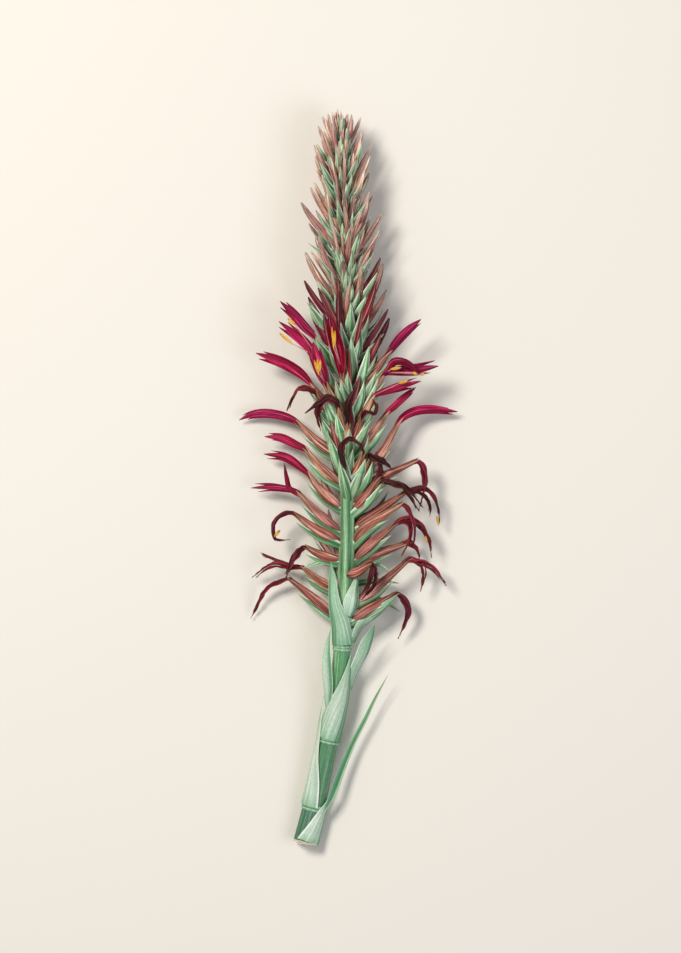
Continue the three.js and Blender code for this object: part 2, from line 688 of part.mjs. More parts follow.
// The origin moves under the middle of the spike
const bounds = new THREE.Box3();
for (const { body } of placed) {
  const { min, max } = body.boundingBox();
  bounds.expandByPoint(new THREE.Vector3(...min)).expandByPoint(new THREE.Vector3(...max));
}
const centre = bounds.getCenter(new THREE.Vector3());

const spike = new THREE.Group();
for (const { name, colour, body } of placed) {
  const shape = welded(body);
  shape.translate(-centre.x, -centre.y, -bounds.min.z);
  const material = new THREE.MeshStandardMaterial({ color: colour, roughness: 0.7, metalness: 0 });
  const mesh = new THREE.Mesh(shape, material);
  mesh.name = name;
  spike.add(mesh);
}

export default spike;
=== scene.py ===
import json
import math
import random

import bpy
import numpy as np
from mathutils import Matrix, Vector

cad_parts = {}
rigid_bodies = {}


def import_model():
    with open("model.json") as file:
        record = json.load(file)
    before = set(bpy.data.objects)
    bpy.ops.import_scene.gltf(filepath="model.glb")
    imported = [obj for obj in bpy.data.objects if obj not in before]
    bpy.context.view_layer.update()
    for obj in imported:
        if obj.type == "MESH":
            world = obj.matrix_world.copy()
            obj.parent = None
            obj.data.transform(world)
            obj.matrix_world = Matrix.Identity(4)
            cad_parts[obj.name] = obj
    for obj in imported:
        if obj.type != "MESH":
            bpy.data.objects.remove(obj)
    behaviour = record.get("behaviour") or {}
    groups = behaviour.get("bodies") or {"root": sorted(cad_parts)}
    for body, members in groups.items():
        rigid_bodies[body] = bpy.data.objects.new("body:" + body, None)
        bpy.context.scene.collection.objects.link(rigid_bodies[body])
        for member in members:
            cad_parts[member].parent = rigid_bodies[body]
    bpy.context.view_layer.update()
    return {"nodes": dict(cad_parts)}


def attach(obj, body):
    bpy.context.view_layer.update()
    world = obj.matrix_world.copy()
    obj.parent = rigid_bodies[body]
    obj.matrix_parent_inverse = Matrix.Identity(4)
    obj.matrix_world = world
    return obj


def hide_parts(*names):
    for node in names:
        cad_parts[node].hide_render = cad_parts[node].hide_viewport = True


# A cut pitcairnia spike that lies on a pale surface and is seen from straight above.
# Lengths are millimetres on the plate, with Y along the stalk, and become metres when a mesh is made.

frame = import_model()
print("frame loaded:", len(frame["nodes"]), "nodes")

plate = {"middle": (2.0, 218.7199, 0.0), "mmPerPixel": 0.6, "stalkPixelX": 345, "cutPixelY": 843,
         "lowest": 0.05}
chance = random.Random(7)
upwards = np.array([0.0, 0.0, 1.0])


def onPlate(pixelX, pixelY, z):
    return [(pixelX - plate["stalkPixelX"]) * plate["mmPerPixel"],
            (plate["cutPixelY"] - pixelY) * plate["mmPerPixel"], z]


def inMetres(points):
    return (np.asarray(points, float) - np.array(plate["middle"])) / 1000


def unit(vectors):
    vectors = np.asarray(vectors, float)
    return vectors / np.maximum(np.linalg.norm(vectors, axis=-1, keepdims=True), 1e-9)


# Small curve helpers

def between(pairs, y):
    return float(np.interp(y, [pair[0] for pair in pairs], [pair[1] for pair in pairs]))


def smoothThrough(values, t):
    # evenly spaced values, joined by a smooth line
    values = np.asarray(values, float)
    place = np.clip(t, 0, 1) * (len(values) - 1)
    i = np.clip(np.floor(place).astype(int), 0, len(values) - 2)
    f = place - i
    slope = np.gradient(values)
    start, end = values[i], values[i + 1]
    return (start * (2 * f**3 - 3 * f**2 + 1) + slope[i] * (f**3 - 2 * f**2 + f)
            + end * (3 * f**2 - 2 * f**3) + slope[i + 1] * (f**3 - f**2))


def goneAlong(route):
    return np.concatenate([[0], np.cumsum(np.linalg.norm(np.diff(route, axis=0), axis=1))])


def routeThrough(points, steps, reach=(0.0, 1.0)):
    # a soft line through the points, cut into even steps; reach says which share of it is wanted
    points = np.asarray(points, float)
    padded = np.vstack([2 * points[0] - points[1], points, 2 * points[-1] - points[-2]])
    dense = []
    for i in range(len(points) - 1):
        p0, p1, p2, p3 = padded[i:i + 4]
        d0, d1, d2 = (max(np.linalg.norm(b - a), 1e-6) ** 0.5 for a, b in ((p0, p1), (p1, p2), (p2, p3)))
        t1 = ((p1 - p0) / d0 - (p2 - p0) / (d0 + d1) + (p2 - p1) / d1) * d1
        t2 = ((p2 - p1) / d1 - (p3 - p1) / (d1 + d2) + (p3 - p2) / d2) * d1
        for u in np.linspace(0, 1, 24, endpoint=False):
            dense.append(p1 + t1 * u + (3 * (p2 - p1) - 2 * t1 - t2) * u**2
                         + (2 * (p1 - p2) + t1 + t2) * u**3)
    dense = np.array([*dense, points[-1]])
    gone = goneAlong(dense)
    wanted = np.linspace(reach[0], reach[1], steps + 1) * gone[-1]
    route = np.stack([np.interp(wanted, gone, dense[:, k]) for k in range(3)], axis=1)
    for i in np.nonzero(wanted > gone[-1])[0]:
        route[i] = dense[-1] + unit(dense[-1] - dense[-4]) * (wanted[i] - gone[-1])
    return route


def framesAlong(route, face, turn=0.0, carried=False):
    # ahead, front and side at each point; turn is in degrees, one value or one for each point
    ahead = unit(np.gradient(route, axis=0))
    face = np.asarray(face, float)
    if carried:
        front = np.zeros_like(route)
        front[0] = unit(face - ahead[0] * ahead[0].dot(face))
        for i in range(1, len(route)):
            front[i] = unit(front[i - 1] - ahead[i] * ahead[i].dot(front[i - 1]))
    else:
        front = unit(face - ahead * (ahead @ face)[:, None])
    angle = np.radians(turn) * np.ones(len(route))
    turned = front * np.cos(angle)[:, None] + np.cross(ahead, front) * np.sin(angle)[:, None]
    return ahead, turned, np.cross(ahead, turned)


# Shapes: points, faces, and for each point where it is on its blade

bladeRule = {"leastHalfWidth": 0.05, "leastCurl": 0.001, "leastThickness": 0.06, "edgeThinner": 0.6,
             "rippleEdge": 2.5, "rippleShift": 1.7, "creaseWidth": 0.22}
plainBlade = {"ripple": 0.0, "waves": 3.0, "crease": 0.0, "lap": 0.0}


def besideRoute(route, frames, across, depth):
    ahead, front, side = frames
    return (route[:, None, :] + side[:, None, :] * across[..., None]
            + front[:, None, :] * depth[..., None]).reshape(-1, 3)


def bladePlaces(route, across, along):
    # for each point: -1 to 1 across its blade, 0 to 1 along it, and mm from its base
    places = np.broadcast_arrays(across, along, goneAlong(route)[:, None])
    return np.stack(places, axis=-1).reshape(-1, 3)


def quads(*corners):
    return np.stack([corner.ravel() for corner in corners], 1)


def bladeShape(route, frames, width, look, phase=0.0):
    # shape and thickness run from base to tip; curl is the half angle of the blade's curl, in radians
    ripple, waves, crease, lap = (look.get(key, plain) for key, plain in plainBlade.items())
    t = np.linspace(0, 1, len(route))
    s = np.linspace(-1, 1, look["across"] + 1)[None, :]
    wide, curl, thick = (
        np.maximum(smoothThrough(values, t), bladeRule[least])[:, None]
        for values, least in ((np.multiply(look["shape"], width), "leastHalfWidth"),
                              (look["curl"], "leastCurl"), (look["thickness"], "leastThickness")))
    t = t[:, None]
    angle = curl * s
    radius = wide / curl
    x = radius * np.sin(angle)
    d = radius * (np.cos(angle) - 1) + lap * s * np.minimum(1, wide)
    wave = np.sin(2 * np.pi * waves * t + phase + bladeRule["rippleShift"] * np.sign(s))
    d = d + ripple * np.abs(s) ** bladeRule["rippleEdge"] * wave
    d = d - crease * wide * np.exp(-((s / bladeRule["creaseWidth"]) ** 2))
    half = 0.5 * thick * (1 - bladeRule["edgeThinner"] * s**2)
    points = [besideRoute(route, frames, x + hand * np.sin(angle) * half, d + hand * np.cos(angle) * half)
              for hand in (1, -1)]
    grid = np.arange(len(route) * s.size).reshape(len(route), s.size)
    low, high, base, tip, under = grid[:-1], grid[1:], grid[0], grid[-1], grid.size
    faces = [quads(low[:, :-1], low[:, 1:], high[:, 1:], high[:, :-1]),
             quads(low[:, :-1], high[:, :-1], high[:, 1:], low[:, 1:]) + under,
             quads(low[:, 0], high[:, 0], high[:, 0] + under, low[:, 0] + under),
             quads(high[:, -1], low[:, -1], low[:, -1] + under, high[:, -1] + under),
             quads(base[:-1], base[:-1] + under, base[1:] + under, base[1:]),
             quads(tip[1:], tip[1:] + under, tip[:-1] + under, tip[:-1])]
    return np.concatenate(points), np.concatenate(faces).tolist(), np.tile(bladePlaces(route, s, t), (2, 1))


def spindleShape(route, frames, radius, sides, lobes, lap, twist=0.0, flat=1.0):
    # a closed round body whose lobes lap over each other like folded sepals
    t = np.linspace(0, 1, len(route))[:, None]
    girth = np.maximum(smoothThrough(radius, t[:, 0]), bladeRule["leastHalfWidth"])[:, None]
    share = np.arange(sides)[None, :] / sides
    within = (share * lobes) % 1.0
    angle = 2 * np.pi * share + np.radians(twist) * t
    reach = girth * (1 + lap * (within - 0.5) + 0.5 * lap * np.sin(np.pi * within))
    points = besideRoute(route, frames, reach * np.sin(angle), reach * np.cos(angle) * flat)
    grid = np.arange(len(route) * sides).reshape(len(route), sides)
    beside = np.roll(grid, -1, axis=1)
    faces = quads(grid[:-1], beside[:-1], beside[1:], grid[1:]).tolist()
    return points, [*faces, grid[0][::-1].tolist(), grid[-1].tolist()], bladePlaces(route, 2 * within - 1, t)


def newPile():
    return {"points": [], "faces": [], "blade": [], "tint": [], "age": [], "count": 0}


def addShape(pile, shape, tint=None, age=0.0):
    points, faces, blade = shape
    pile["points"].append(points)
    pile["faces"] += [[corner + pile["count"] for corner in face] for face in faces]
    pile["blade"].append(blade)
    pile["tint"].append(np.full(len(points), chance.random() if tint is None else tint))
    pile["age"].append(np.full(len(points), age))
    pile["count"] += len(points)


def addBlade(pile, route, frames, width, look, phase=0.0, tint=None, age=0.0):
    addShape(pile, bladeShape(route, frames, width, look, phase), tint, age)


def storeValues(mesh, key, values):
    # a number or a vector for each point
    values = np.array(values, np.float32)
    kind, field = ("FLOAT", "value") if values.ndim == 1 else ("FLOAT_VECTOR", "vector")
    mesh.attributes.new(key, kind, "POINT").data.foreach_set(field, values.ravel())


def meshOf(name, pile, placed=True):
    # a placed mesh is in metres and above the surface; the others are unit shapes
    points = np.concatenate(pile["points"])
    if placed:
        points[:, 2] = np.maximum(points[:, 2], plate["lowest"])
        points = inMetres(points)
    mesh = bpy.data.meshes.new(name)
    mesh.from_pydata(points.tolist(), [], pile["faces"])
    for key in ("blade", "tint", "age") if placed else ("blade",):
        storeValues(mesh, key, np.concatenate(pile[key]))
    mesh.shade_smooth()
    mesh.set_sharp_from_angle(angle=math.radians(55))
    mesh.update()
    return mesh


def showPiece(piece, nodes=()):
    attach(piece, "root")
    if nodes:
        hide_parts(*nodes)


def makePiece(name, pile, material, nodes=()):
    piece = bpy.data.objects.new(name, meshOf(name, pile))
    bpy.context.scene.collection.objects.link(piece)
    piece.data.materials.append(material)
    showPiece(piece, nodes)


# Nodes

mathNode, rangeNode, mixNode = "ShaderNodeMath", "ShaderNodeMapRange", "ShaderNodeMix"
namedNode, storeNode, randomNode = ("GeometryNodeInputNamedAttribute", "GeometryNodeStoreNamedAttribute",
                                    "FunctionNodeRandomValue")


def colour(code):
    # sRGB hex to the linear values that a shader takes
    parts = [int(code[i:i + 2], 16) / 255 for i in (1, 3, 5)]
    return (*[p / 12.92 if p <= 0.04045 else ((p + 0.055) / 1.055) ** 2.4 for p in parts], 1.0)


def addNode(tree, kind, links=None, stops=None, **settings):
    # a node with its settings; links maps a socket to a value, another node or one of its outputs
    node = tree.nodes.new(kind)
    for key, value in settings.items():
        setattr(node, key, value)
    for socket, value in (links or {}).items():
        if isinstance(value, bpy.types.Node):
            value = next(output for output in value.outputs if output.enabled)
        if isinstance(value, bpy.types.NodeSocket):
            tree.links.new(value, node.inputs[socket])
        else:
            node.inputs[socket].default_value = value
    if stops:
        ramp = node.color_ramp
        while len(ramp.elements) < len(stops):
            ramp.elements.new(0.5)
        for element, (place, code) in zip(ramp.elements, stops):
            element.position = place
            element.color = colour(code)
    return node


def bladeMaterial(name, look):
    # long fibres, veins and a pale margin that follow each blade from its base to its tip, with painted
    # highlights on the crests, painted shading on one side and a painted line along a fold
    material = bpy.data.materials.new(name)
    material.use_nodes = True
    tree = material.node_tree
    tree.nodes.clear()
    blade, tint, age = (
        addNode(tree, "ShaderNodeAttribute", attribute_name=key) for key in ("blade", "tint", "age"))
    tint, age = tint.outputs["Fac"], age.outputs["Fac"]
    across, along, gone = addNode(tree, "ShaderNodeSeparateXYZ", {0: blade.outputs["Vector"]}).outputs
    stretched = ((across, look["fibres"]), (gone, look["fibreStretch"]), (tint, 61.0))
    fibrePlace = addNode(tree, "ShaderNodeCombineXYZ", {
        k: addNode(tree, mathNode, dict(enumerate(pair)), operation="MULTIPLY")
        for k, pair in enumerate(stretched)})
    fibres = addNode(tree, "ShaderNodeTexNoise", {"Vector": fibrePlace, "Scale": 1.0, "Detail": 3.0,
                                                  "Roughness": 0.6, "Distortion": 0.25})
    patches = addNode(tree, "ShaderNodeTexNoise", {
        "Vector": addNode(tree, "ShaderNodeTexCoord").outputs["Object"], "Scale": look["patchScale"],
        "Detail": 4.0, "Roughness": 0.65})
    young, old = (
        addNode(tree, "ShaderNodeValToRGB", {0: along}, stops=look[key]) for key in ("young", "old"))
    skin = addNode(tree, mixNode, {0: age, 6: young, 7: old}, data_type="RGBA")
    # an old blade may lose the painted highlights on its crests and its painted fold line
    fresh = addNode(tree, rangeNode, {0: age, 1: 0.2, 2: 0.9, 3: 1.0, 4: look.get("oldHighlightShare", 1.0)})
    foldGap = addNode(tree, mathNode, {0: across, 1: look.get("foldAt", 0.0)}, operation="SUBTRACT")
    foldGap, rimGap = (addNode(tree, mathNode, {0: gap}, operation="ABSOLUTE") for gap in (foldGap, across))
    # each layer: what it follows, from where to where, and its depth at both; the look names its tone
    layers = {
        "line": (fibres, 0.42, 0.6, look["lineDepth"], 0.0),  # dark, between the fibres
        # painted highlight on the crests of the fibres
        "crestHighlight": (fibres, 0.56, 0.76, 0.0, look["crestHighlightDepth"]),  # light, on the crests
        # painted shade on one half of the blade; on the strap leaf the tone is lighter, painted light on that
        # half
        "side": (across, look.get("sideShadingFrom"), look.get("sideShadingTo"), 0.0, look.get("sideShadingDepth")),
        # one painted line along a fold: a painted highlight where its tone is pale, painted shade in the fold
        # where dark
        "foldShading": (foldGap, 0.0, 0.07, look.get("foldShadingDepth"), 0.0),  # one fine line
        "rim": (rimGap, look["rimFrom"], 1.0, 0.0, look["rimDepth"]),  # the margin on both sides
    }
    for key, values in layers.items():
        if key not in look:
            continue
        depth = addNode(tree, rangeNode, dict(enumerate(values)),
                        interpolation_type="SMOOTHSTEP" if key in ("side", "rim") else "LINEAR")
        if key in ("crestHighlight", "foldShading"):
            depth = addNode(tree, mathNode, {0: depth, 1: fresh}, operation="MULTIPLY")
        tone = colour(look[key])
        if key == "side":
            tone = addNode(tree, mixNode, {0: age, 6: tone, 7: colour(look.get("oldSideShading", look[key]))},
                           data_type="RGBA")
        skin = addNode(tree, mixNode, {0: depth, 6: skin, 7: tone}, data_type="RGBA")
    # patches of a lighter and a darker tone, and a tone and a hue of its own for each blade
    mottle, tone, hue = (
        addNode(tree, rangeNode, {0: source, 1: low, 2: high, 3: middle - look[key], 4: middle + look[key]})
        for key, source, low, high, middle in (
            ("mottle", patches, 0.3, 0.7, 1), ("spread", tint, 0.0, 1.0, 1),
            ("hueSpread", tint, 0.0, 1.0, 0.5)))
    tone = addNode(tree, mathNode, {0: tone, 1: mottle}, operation="MULTIPLY")
    skin = addNode(tree, "ShaderNodeHueSaturation", {"Hue": hue, "Value": tone, "Color": skin})
    rough = addNode(tree, rangeNode, {
        0: fibres, 1: 0.3, 2: 0.7, 3: look["rough"] + 0.1, 4: look["rough"] - 0.08})
    height = addNode(tree, mathNode, {0: patches, 1: look["wrinkle"], 2: fibres}, operation="MULTIPLY_ADD")
    bump = addNode(tree, "ShaderNodeBump", {"Strength": look["bump"], "Distance": 0.0004, "Height": height})
    shader = addNode(tree, "ShaderNodeBsdfPrincipled", {
        "Base Color": skin, "Roughness": rough, "Normal": bump, "Sheen Weight": look.get("sheen", 0.0),
        "Sheen Roughness": 0.4, "Coat Weight": look.get("coat", 0.0), "Coat Roughness": 0.35, "IOR": 1.42,
        "Specular IOR Level": look.get("gloss", 0.35)})
    addNode(tree, "ShaderNodeOutputMaterial", {0: shader})
    return material


# Mint leaf skin: light margins and fine veins, which makes the bracts read one by one; painted shade darkens
# one half of each blade, and a pale line along the midrib and the light crests are painted highlights
bractSkin = bladeMaterial("bract_leaf_skin", {
    "young": [(0.0, "#86bd86"), (0.3, "#cfeec2"), (0.8, "#e0f6d2"), (1.0, "#f3f6d4")],
    "old": [(0.0, "#3c8a4e"), (0.3, "#84c48a"), (0.8, "#a2d89d"), (1.0, "#cfe2ac")], "side": "#276b3c",
    "sideShadingFrom": 0.04, "sideShadingTo": 0.36, "sideShadingDepth": 0.7, "foldShading": "#ecfae6", "foldAt": -0.02,
    "foldShadingDepth": 0.55, "line": "#1f6138", "lineDepth": 0.66, "crestHighlight": "#eefbea", "crestHighlightDepth": 0.6,
    "rim": "#f5fdf0", "rimFrom": 0.62, "rimDepth": 0.85, "fibres": 3.2, "fibreStretch": 0.05,
    "patchScale": 260.0, "mottle": 0.08, "spread": 0.2, "hueSpread": 0.012, "rough": 0.5, "bump": 0.35,
    "wrinkle": 0.3, "coat": 0.08,
})
# Almost white, papery sheath with parallel veins; the greener strip on one side is painted shade, the dark
# fold line is painted shade in its fold, and the light crests are painted highlights
sheathSkin = bladeMaterial("papery_sheath_skin", {
    "young": [(0.0, "#a4cdae"), (0.12, "#d9e9db"), (0.45, "#ebf2e8"), (0.75, "#d3e7d3"), (1.0, "#9ccda3")],
    "old": [(0.0, "#4a9468"), (0.4, "#74b988"), (1.0, "#4f9a68")], "side": "#438d60", "sideShadingFrom": 0.26,
    "sideShadingTo": 0.6, "sideShadingDepth": 0.8, "foldShading": "#2f6b49", "foldAt": 0.33, "foldShadingDepth": 0.7, "line": "#6fa584",
    "lineDepth": 0.5, "crestHighlight": "#f0f7ee", "crestHighlightDepth": 0.55, "rim": "#f4f9f1", "rimFrom": 0.86,
    "rimDepth": 0.8, "fibres": 9.0, "fibreStretch": 0.025, "patchScale": 700.0, "mottle": 0.12,
    "spread": 0.07, "hueSpread": 0.006, "rough": 0.55, "bump": 0.4, "wrinkle": 0.4,
})
# Tougher, dark green leaf skin; one half of its fold is lighter, as painted light, and its crests carry
# painted highlights
leafSkin = bladeMaterial("strap_leaf_skin", {
    "young": [(0.0, "#c3ddc8"), (0.5, "#b2d6ba"), (1.0, "#9ccaa6")],
    "old": [(0.0, "#b4d6bb"), (0.05, "#5f9f7a"), (0.2, "#3c8458"), (0.7, "#73ad7c"), (1.0, "#b9c295")],
    "side": "#c4dcbb", "sideShadingFrom": 0.2, "sideShadingTo": 0.45, "sideShadingDepth": 0.85, "line": "#2c6e4a",
    "lineDepth": 0.6, "crestHighlight": "#cfe8d0", "crestHighlightDepth": 0.35, "rim": "#dcecd4", "rimFrom": 0.82,
    "rimDepth": 0.7, "fibres": 5.0, "fibreStretch": 0.02, "patchScale": 200.0, "mottle": 0.07,
    "spread": 0.05, "hueSpread": 0.005, "rough": 0.45, "bump": 0.4, "wrinkle": 0.3, "coat": 0.1,
})
# Dusty rose sepal: mealy skin with brown lines and a peach tip; a darker side is painted shade, and a pale
# stripe and the light crests are painted highlights
sepalSkin = bladeMaterial("dusty_sepal_skin", {
    "young": [(0.0, "#84443a"), (0.2, "#eca698"), (0.5, "#e8a895"), (0.82, "#cd987c"), (1.0, "#ecc79a")],
    "old": [(0.0, "#70352b"), (0.25, "#df8a76"), (0.55, "#c46e54"), (0.84, "#935c30"), (1.0, "#c89c5c")],
    "side": "#7a3a2e", "sideShadingFrom": 0.2, "sideShadingTo": 0.8, "sideShadingDepth": 0.62, "foldShading": "#f9d8c6", "foldAt": -0.3,
    "foldShadingDepth": 0.55, "line": "#4c1711", "lineDepth": 0.86, "crestHighlight": "#ffe3d6", "crestHighlightDepth": 0.78,
    "rim": "#f2c4ac", "rimFrom": 0.88, "rimDepth": 0.6, "fibres": 3.4, "fibreStretch": 0.045,
    "patchScale": 420.0, "mottle": 0.12, "spread": 0.16, "hueSpread": 0.01, "rough": 0.6, "bump": 0.45,
    "wrinkle": 0.5, "sheen": 0.03,
})
# Closed bud: the same rose, and a ripe one is crimson to maroon at its tip; a darker side, darker still when
# ripe, is painted shade, and a pale stripe and the light crests are painted highlights, which mostly fade as
# it ripens
budSkin = bladeMaterial("closed_bud_skin", {
    "young": [(0.0, "#6f5a44"), (0.2, "#c88878"), (0.55, "#dc9d8f"), (0.8, "#f0c0b0"), (1.0, "#fff0de")],
    "old": [(0.0, "#8a5044"), (0.26, "#b8605e"), (0.45, "#a01534"), (0.8, "#770a20"), (1.0, "#470614")],
    "oldHighlightShare": 0.2, "oldSideShading": "#3a0812", "side": "#6f3a30", "sideShadingFrom": 0.25, "sideShadingTo": 0.85,
    "sideShadingDepth": 0.65, "foldShading": "#f8dccb", "foldAt": -0.35, "foldShadingDepth": 0.5, "line": "#451a16",
    "lineDepth": 0.85, "crestHighlight": "#ffeae0", "crestHighlightDepth": 0.8, "rim": "#e8b4a6", "rimFrom": 0.72,
    "rimDepth": 0.5, "fibres": 2.6, "fibreStretch": 0.05, "patchScale": 420.0, "mottle": 0.14,
    "spread": 0.27, "hueSpread": 0.018, "rough": 0.6, "bump": 0.4, "wrinkle": 0.4, "sheen": 0.03,
})
# Fresh petal: silky crimson, streaked with maroon; its lighter crests are painted highlights, and a darker
# side is painted shade
petalSkin = bladeMaterial("silky_petal_skin", {
    "young": [(0.0, "#7c0724"), (0.2, "#ae0b42"), (0.6, "#d01364"), (0.9, "#bc0f54"), (1.0, "#800a34")],
    "old": [(0.0, "#66081a"), (0.25, "#a80c32"), (0.6, "#a60f2c"), (0.9, "#760a1e"), (1.0, "#480614")],
    "side": "#6c0723", "sideShadingFrom": 0.35, "sideShadingTo": 0.8, "sideShadingDepth": 0.65, "line": "#3c0414",
    "lineDepth": 0.85, "crestHighlight": "#ff80b8", "crestHighlightDepth": 0.75, "rim": "#dc3a7c", "rimFrom": 0.88,
    "rimDepth": 0.45, "fibres": 4.6, "fibreStretch": 0.035, "patchScale": 300.0, "mottle": 0.1,
    "spread": 0.14, "hueSpread": 0.006, "rough": 0.5, "bump": 0.35, "wrinkle": 0.35, "sheen": 0.01,
    "gloss": 0.18,
})
# Withered petal: dry and dark, creased, with crimson left in the young ones; its light crests are painted
# highlights
witheredSkin = bladeMaterial("withered_petal_skin", {
    "young": [(0.0, "#8a402c"), (0.2, "#a8233f"), (0.6, "#bf2f55"), (0.9, "#9c2a3d"), (1.0, "#8a3e2c")],
    "old": [(0.0, "#5a2a1c"), (0.2, "#380f0d"), (0.6, "#330c11"), (0.9, "#340e0c"), (1.0, "#6a3820")],
    "line": "#200707", "lineDepth": 0.75, "crestHighlight": "#c4585c", "crestHighlightDepth": 0.45, "rim": "#7d402a",
    "rimFrom": 0.8, "rimDepth": 0.4, "fibres": 3.0, "fibreStretch": 0.06, "patchScale": 500.0,
    "mottle": 0.16, "spread": 0.2, "hueSpread": 0.015, "rough": 0.6, "bump": 0.6, "wrinkle": 0.9,
})
# Anther: golden pollen grains on two swollen lobes, with painted highlights on the crests
pollenSkin = bladeMaterial("golden_pollen_skin", {
    "young": [(0.0, "#c98a2a"), (0.3, "#f0b93a"), (0.8, "#f7cf5c"), (1.0, "#e0a23a")],
    "old": [(0.0, "#a56a22"), (0.5, "#d99a35"), (1.0, "#b57a2a")],
    "line": "#a8641c", "lineDepth": 0.6, "crestHighlight": "#ffe59a", "crestHighlightDepth": 0.5, "rim": "#c98425",
    "rimFrom": 0.7, "rimDepth": 0.4, "fibres": 1.6, "fibreStretch": 0.5, "patchScale": 2200.0, "mottle": 0.2,
    "spread": 0.08, "hueSpread": 0.006, "rough": 0.75, "bump": 0.5, "wrinkle": 1.2,
})
# Pale pink filament that carries an anther, with painted highlights on the crests
filamentSkin = bladeMaterial("filament_skin", {
    "young": [(0.0, "#b4456a"), (1.0, "#e3a0a0")], "old": [(0.0, "#5c2024"), (1.0, "#7a3a30")],
    "line": "#8c2f50", "lineDepth": 0.3, "crestHighlight": "#f2c8c2", "crestHighlightDepth": 0.3, "rim": "#d98a96",
    "rimFrom": 0.8, "rimDepth": 0.2, "fibres": 1.5, "fibreStretch": 0.1, "patchScale": 600.0, "mottle": 0.08,
    "spread": 0.1, "hueSpread": 0.01, "rough": 0.45, "bump": 0.2, "wrinkle": 0.3,
})
# Stalk: smooth green skin with fine long ribs; the light they catch is painted highlight on the crests, and
# the darker old tone is painted shade in the grooves between the ridges
stalkSkin = bladeMaterial("green_stalk_skin", {
    "young": [(0.0, "#4a735e"), (0.045, "#537f69"), (0.055, "#62926f"), (0.14, "#62926f"), (0.2, "#579460"),
              (0.3, "#74b07c"), (0.4, "#b4deae"), (1.0, "#c4e8ba")],
    "old": [(0.0, "#346c4c"), (0.3, "#2f6f40"), (0.5, "#2f6e3c"), (1.0, "#4d8a56")], "line": "#2f6b49",
    "lineDepth": 0.5, "crestHighlight": "#e4f7e2", "crestHighlightDepth": 0.5, "rim": "#8abf99", "rimFrom": 0.9,
    "rimDepth": 0.1, "fibres": 14.0, "fibreStretch": 0.02, "patchScale": 420.0, "mottle": 0.14,
    "spread": 0.05, "hueSpread": 0.004, "rough": 0.48, "bump": 0.4, "wrinkle": 0.3, "coat": 0.06,
})
print("materials made:", len(bpy.data.materials))

# The line of the stalk, and the rule that sets the shoots on it

stalk = {
    "line": [(-24, 0, 6.2), (-17.4, 26, 7.6), (-10.2, 59, 10.6), (-4.2, 86, 13.6), (-1.8, 116, 17.5),
             (0, 146, 21), (1.2, 176, 23.4), (1.8, 206, 24.8), (1.2, 236, 25.5), (2.4, 296, 26),
             (0, 356, 26), (-2.4, 416, 25), (-4.2, 436, 25)],
    "girth": [(0, 7), (30, 6.5), (62, 5.8), (116, 5.1), (165, 4.7), (206, 4.3), (285, 3.2), (345, 2.3),
              (416, 1.3), (436, 0.8)],
    "end": 426, "rings": [20, 61, 117, 134], "ringRise": 0.6, "ringHalf": 1.3, "step": 1.5, "sides": 36,
    "ridges": 5, "ridgeDepth": 0.8, "ridgeFrom": 138, "ridgeRun": 25,
}


def stalkMiddle(y):
    x, z = (between([(point[1], point[k]) for point in stalk["line"]], y) for k in (0, 2))
    return np.array([x, y, z])


def stalkFrame(y):
    ahead = unit(stalkMiddle(y + 12) - stalkMiddle(y - 12))
    right = unit(np.cross(ahead, upwards))
    return {"middle": stalkMiddle(y), "ahead": ahead, "right": right, "up": np.cross(right, ahead),
            "radius": between(stalk["girth"], y)}


def outward(at, turn):
    return at["right"] * math.sin(math.radians(turn)) + at["up"] * math.cos(math.radians(turn))


shoots = {
    "goldenAngle": 137.508, "firstTurn": 20, "turnSway": 6, "first": -60, "budStart": 285, "budCount": 116,
    "pitch": 1.55, "pitchAtTip": 0.92, "flowerStart": 165, "flowerPitch": 2.45, "lowerStart": 135,
    "lowerPitch": 4.5, "budLength": [(285, 41), (345, 35), (395, 30), (412, 25), (422, 15.5), (428, 12)],
    "budLean": [(285, 37), (345, 36), (395, 33), (412, 29), (422, 16), (428, 5)],
    "budRadius": [(285, 1.55), (345, 1.12), (416, 0.78), (428, 0.62)],
    "leanSway": 3, "lengthSway": 0.08, "sink": 1.0,
    "bractLength": [(135, 28), (200, 27), (300, 27), (400, 20), (428, 12)],
    "bractHalfWidth": [(135, 4.6), (200, 4.2), (300, 3.5), (400, 2.7), (428, 1.6)], "flatterAbove": 0.22,
    "flatterBelow": 0.3, "ripeFrom": 264, "bractExtraLean": 7, "bractDrop": 2.6, "flowerBractDrop": 4.5,
    "deepBelow": 390, "deepOver": 170, "deepSpread": 0.2, "ripeBelow": 330, "ripeOver": 22, "ripeSpread": 18,
    "bractClear": (1.6, 0.45), "budClear": (2.6, 0.3),
    "young": {"from": 300, "every": 3, "above": 0.8, "turn": 68, "lean": 0.95, "length": 0.85,
              "girth": 0.85},
    "front": {"every": 2, "spread": 68, "lift": 0.72, "halfAngle": 50, "from": 203, "length": 29,
              "halfWidth": 4.2, "lean": 27, "above": 0.5, "shorter": 0.95, "paler": 0.5, "budFrom": 225,
              "budLean": 24, "budLength": 30, "budRadius": 2.2, "budAge": 0.9},
    "underside": {"cosine": -0.2, "lean": 44, "length": 25, "radius": 2.3, "age": 0.5, "bractLean": 48,
                  "bractLength": 22.5, "bractWidth": 0.8},
}


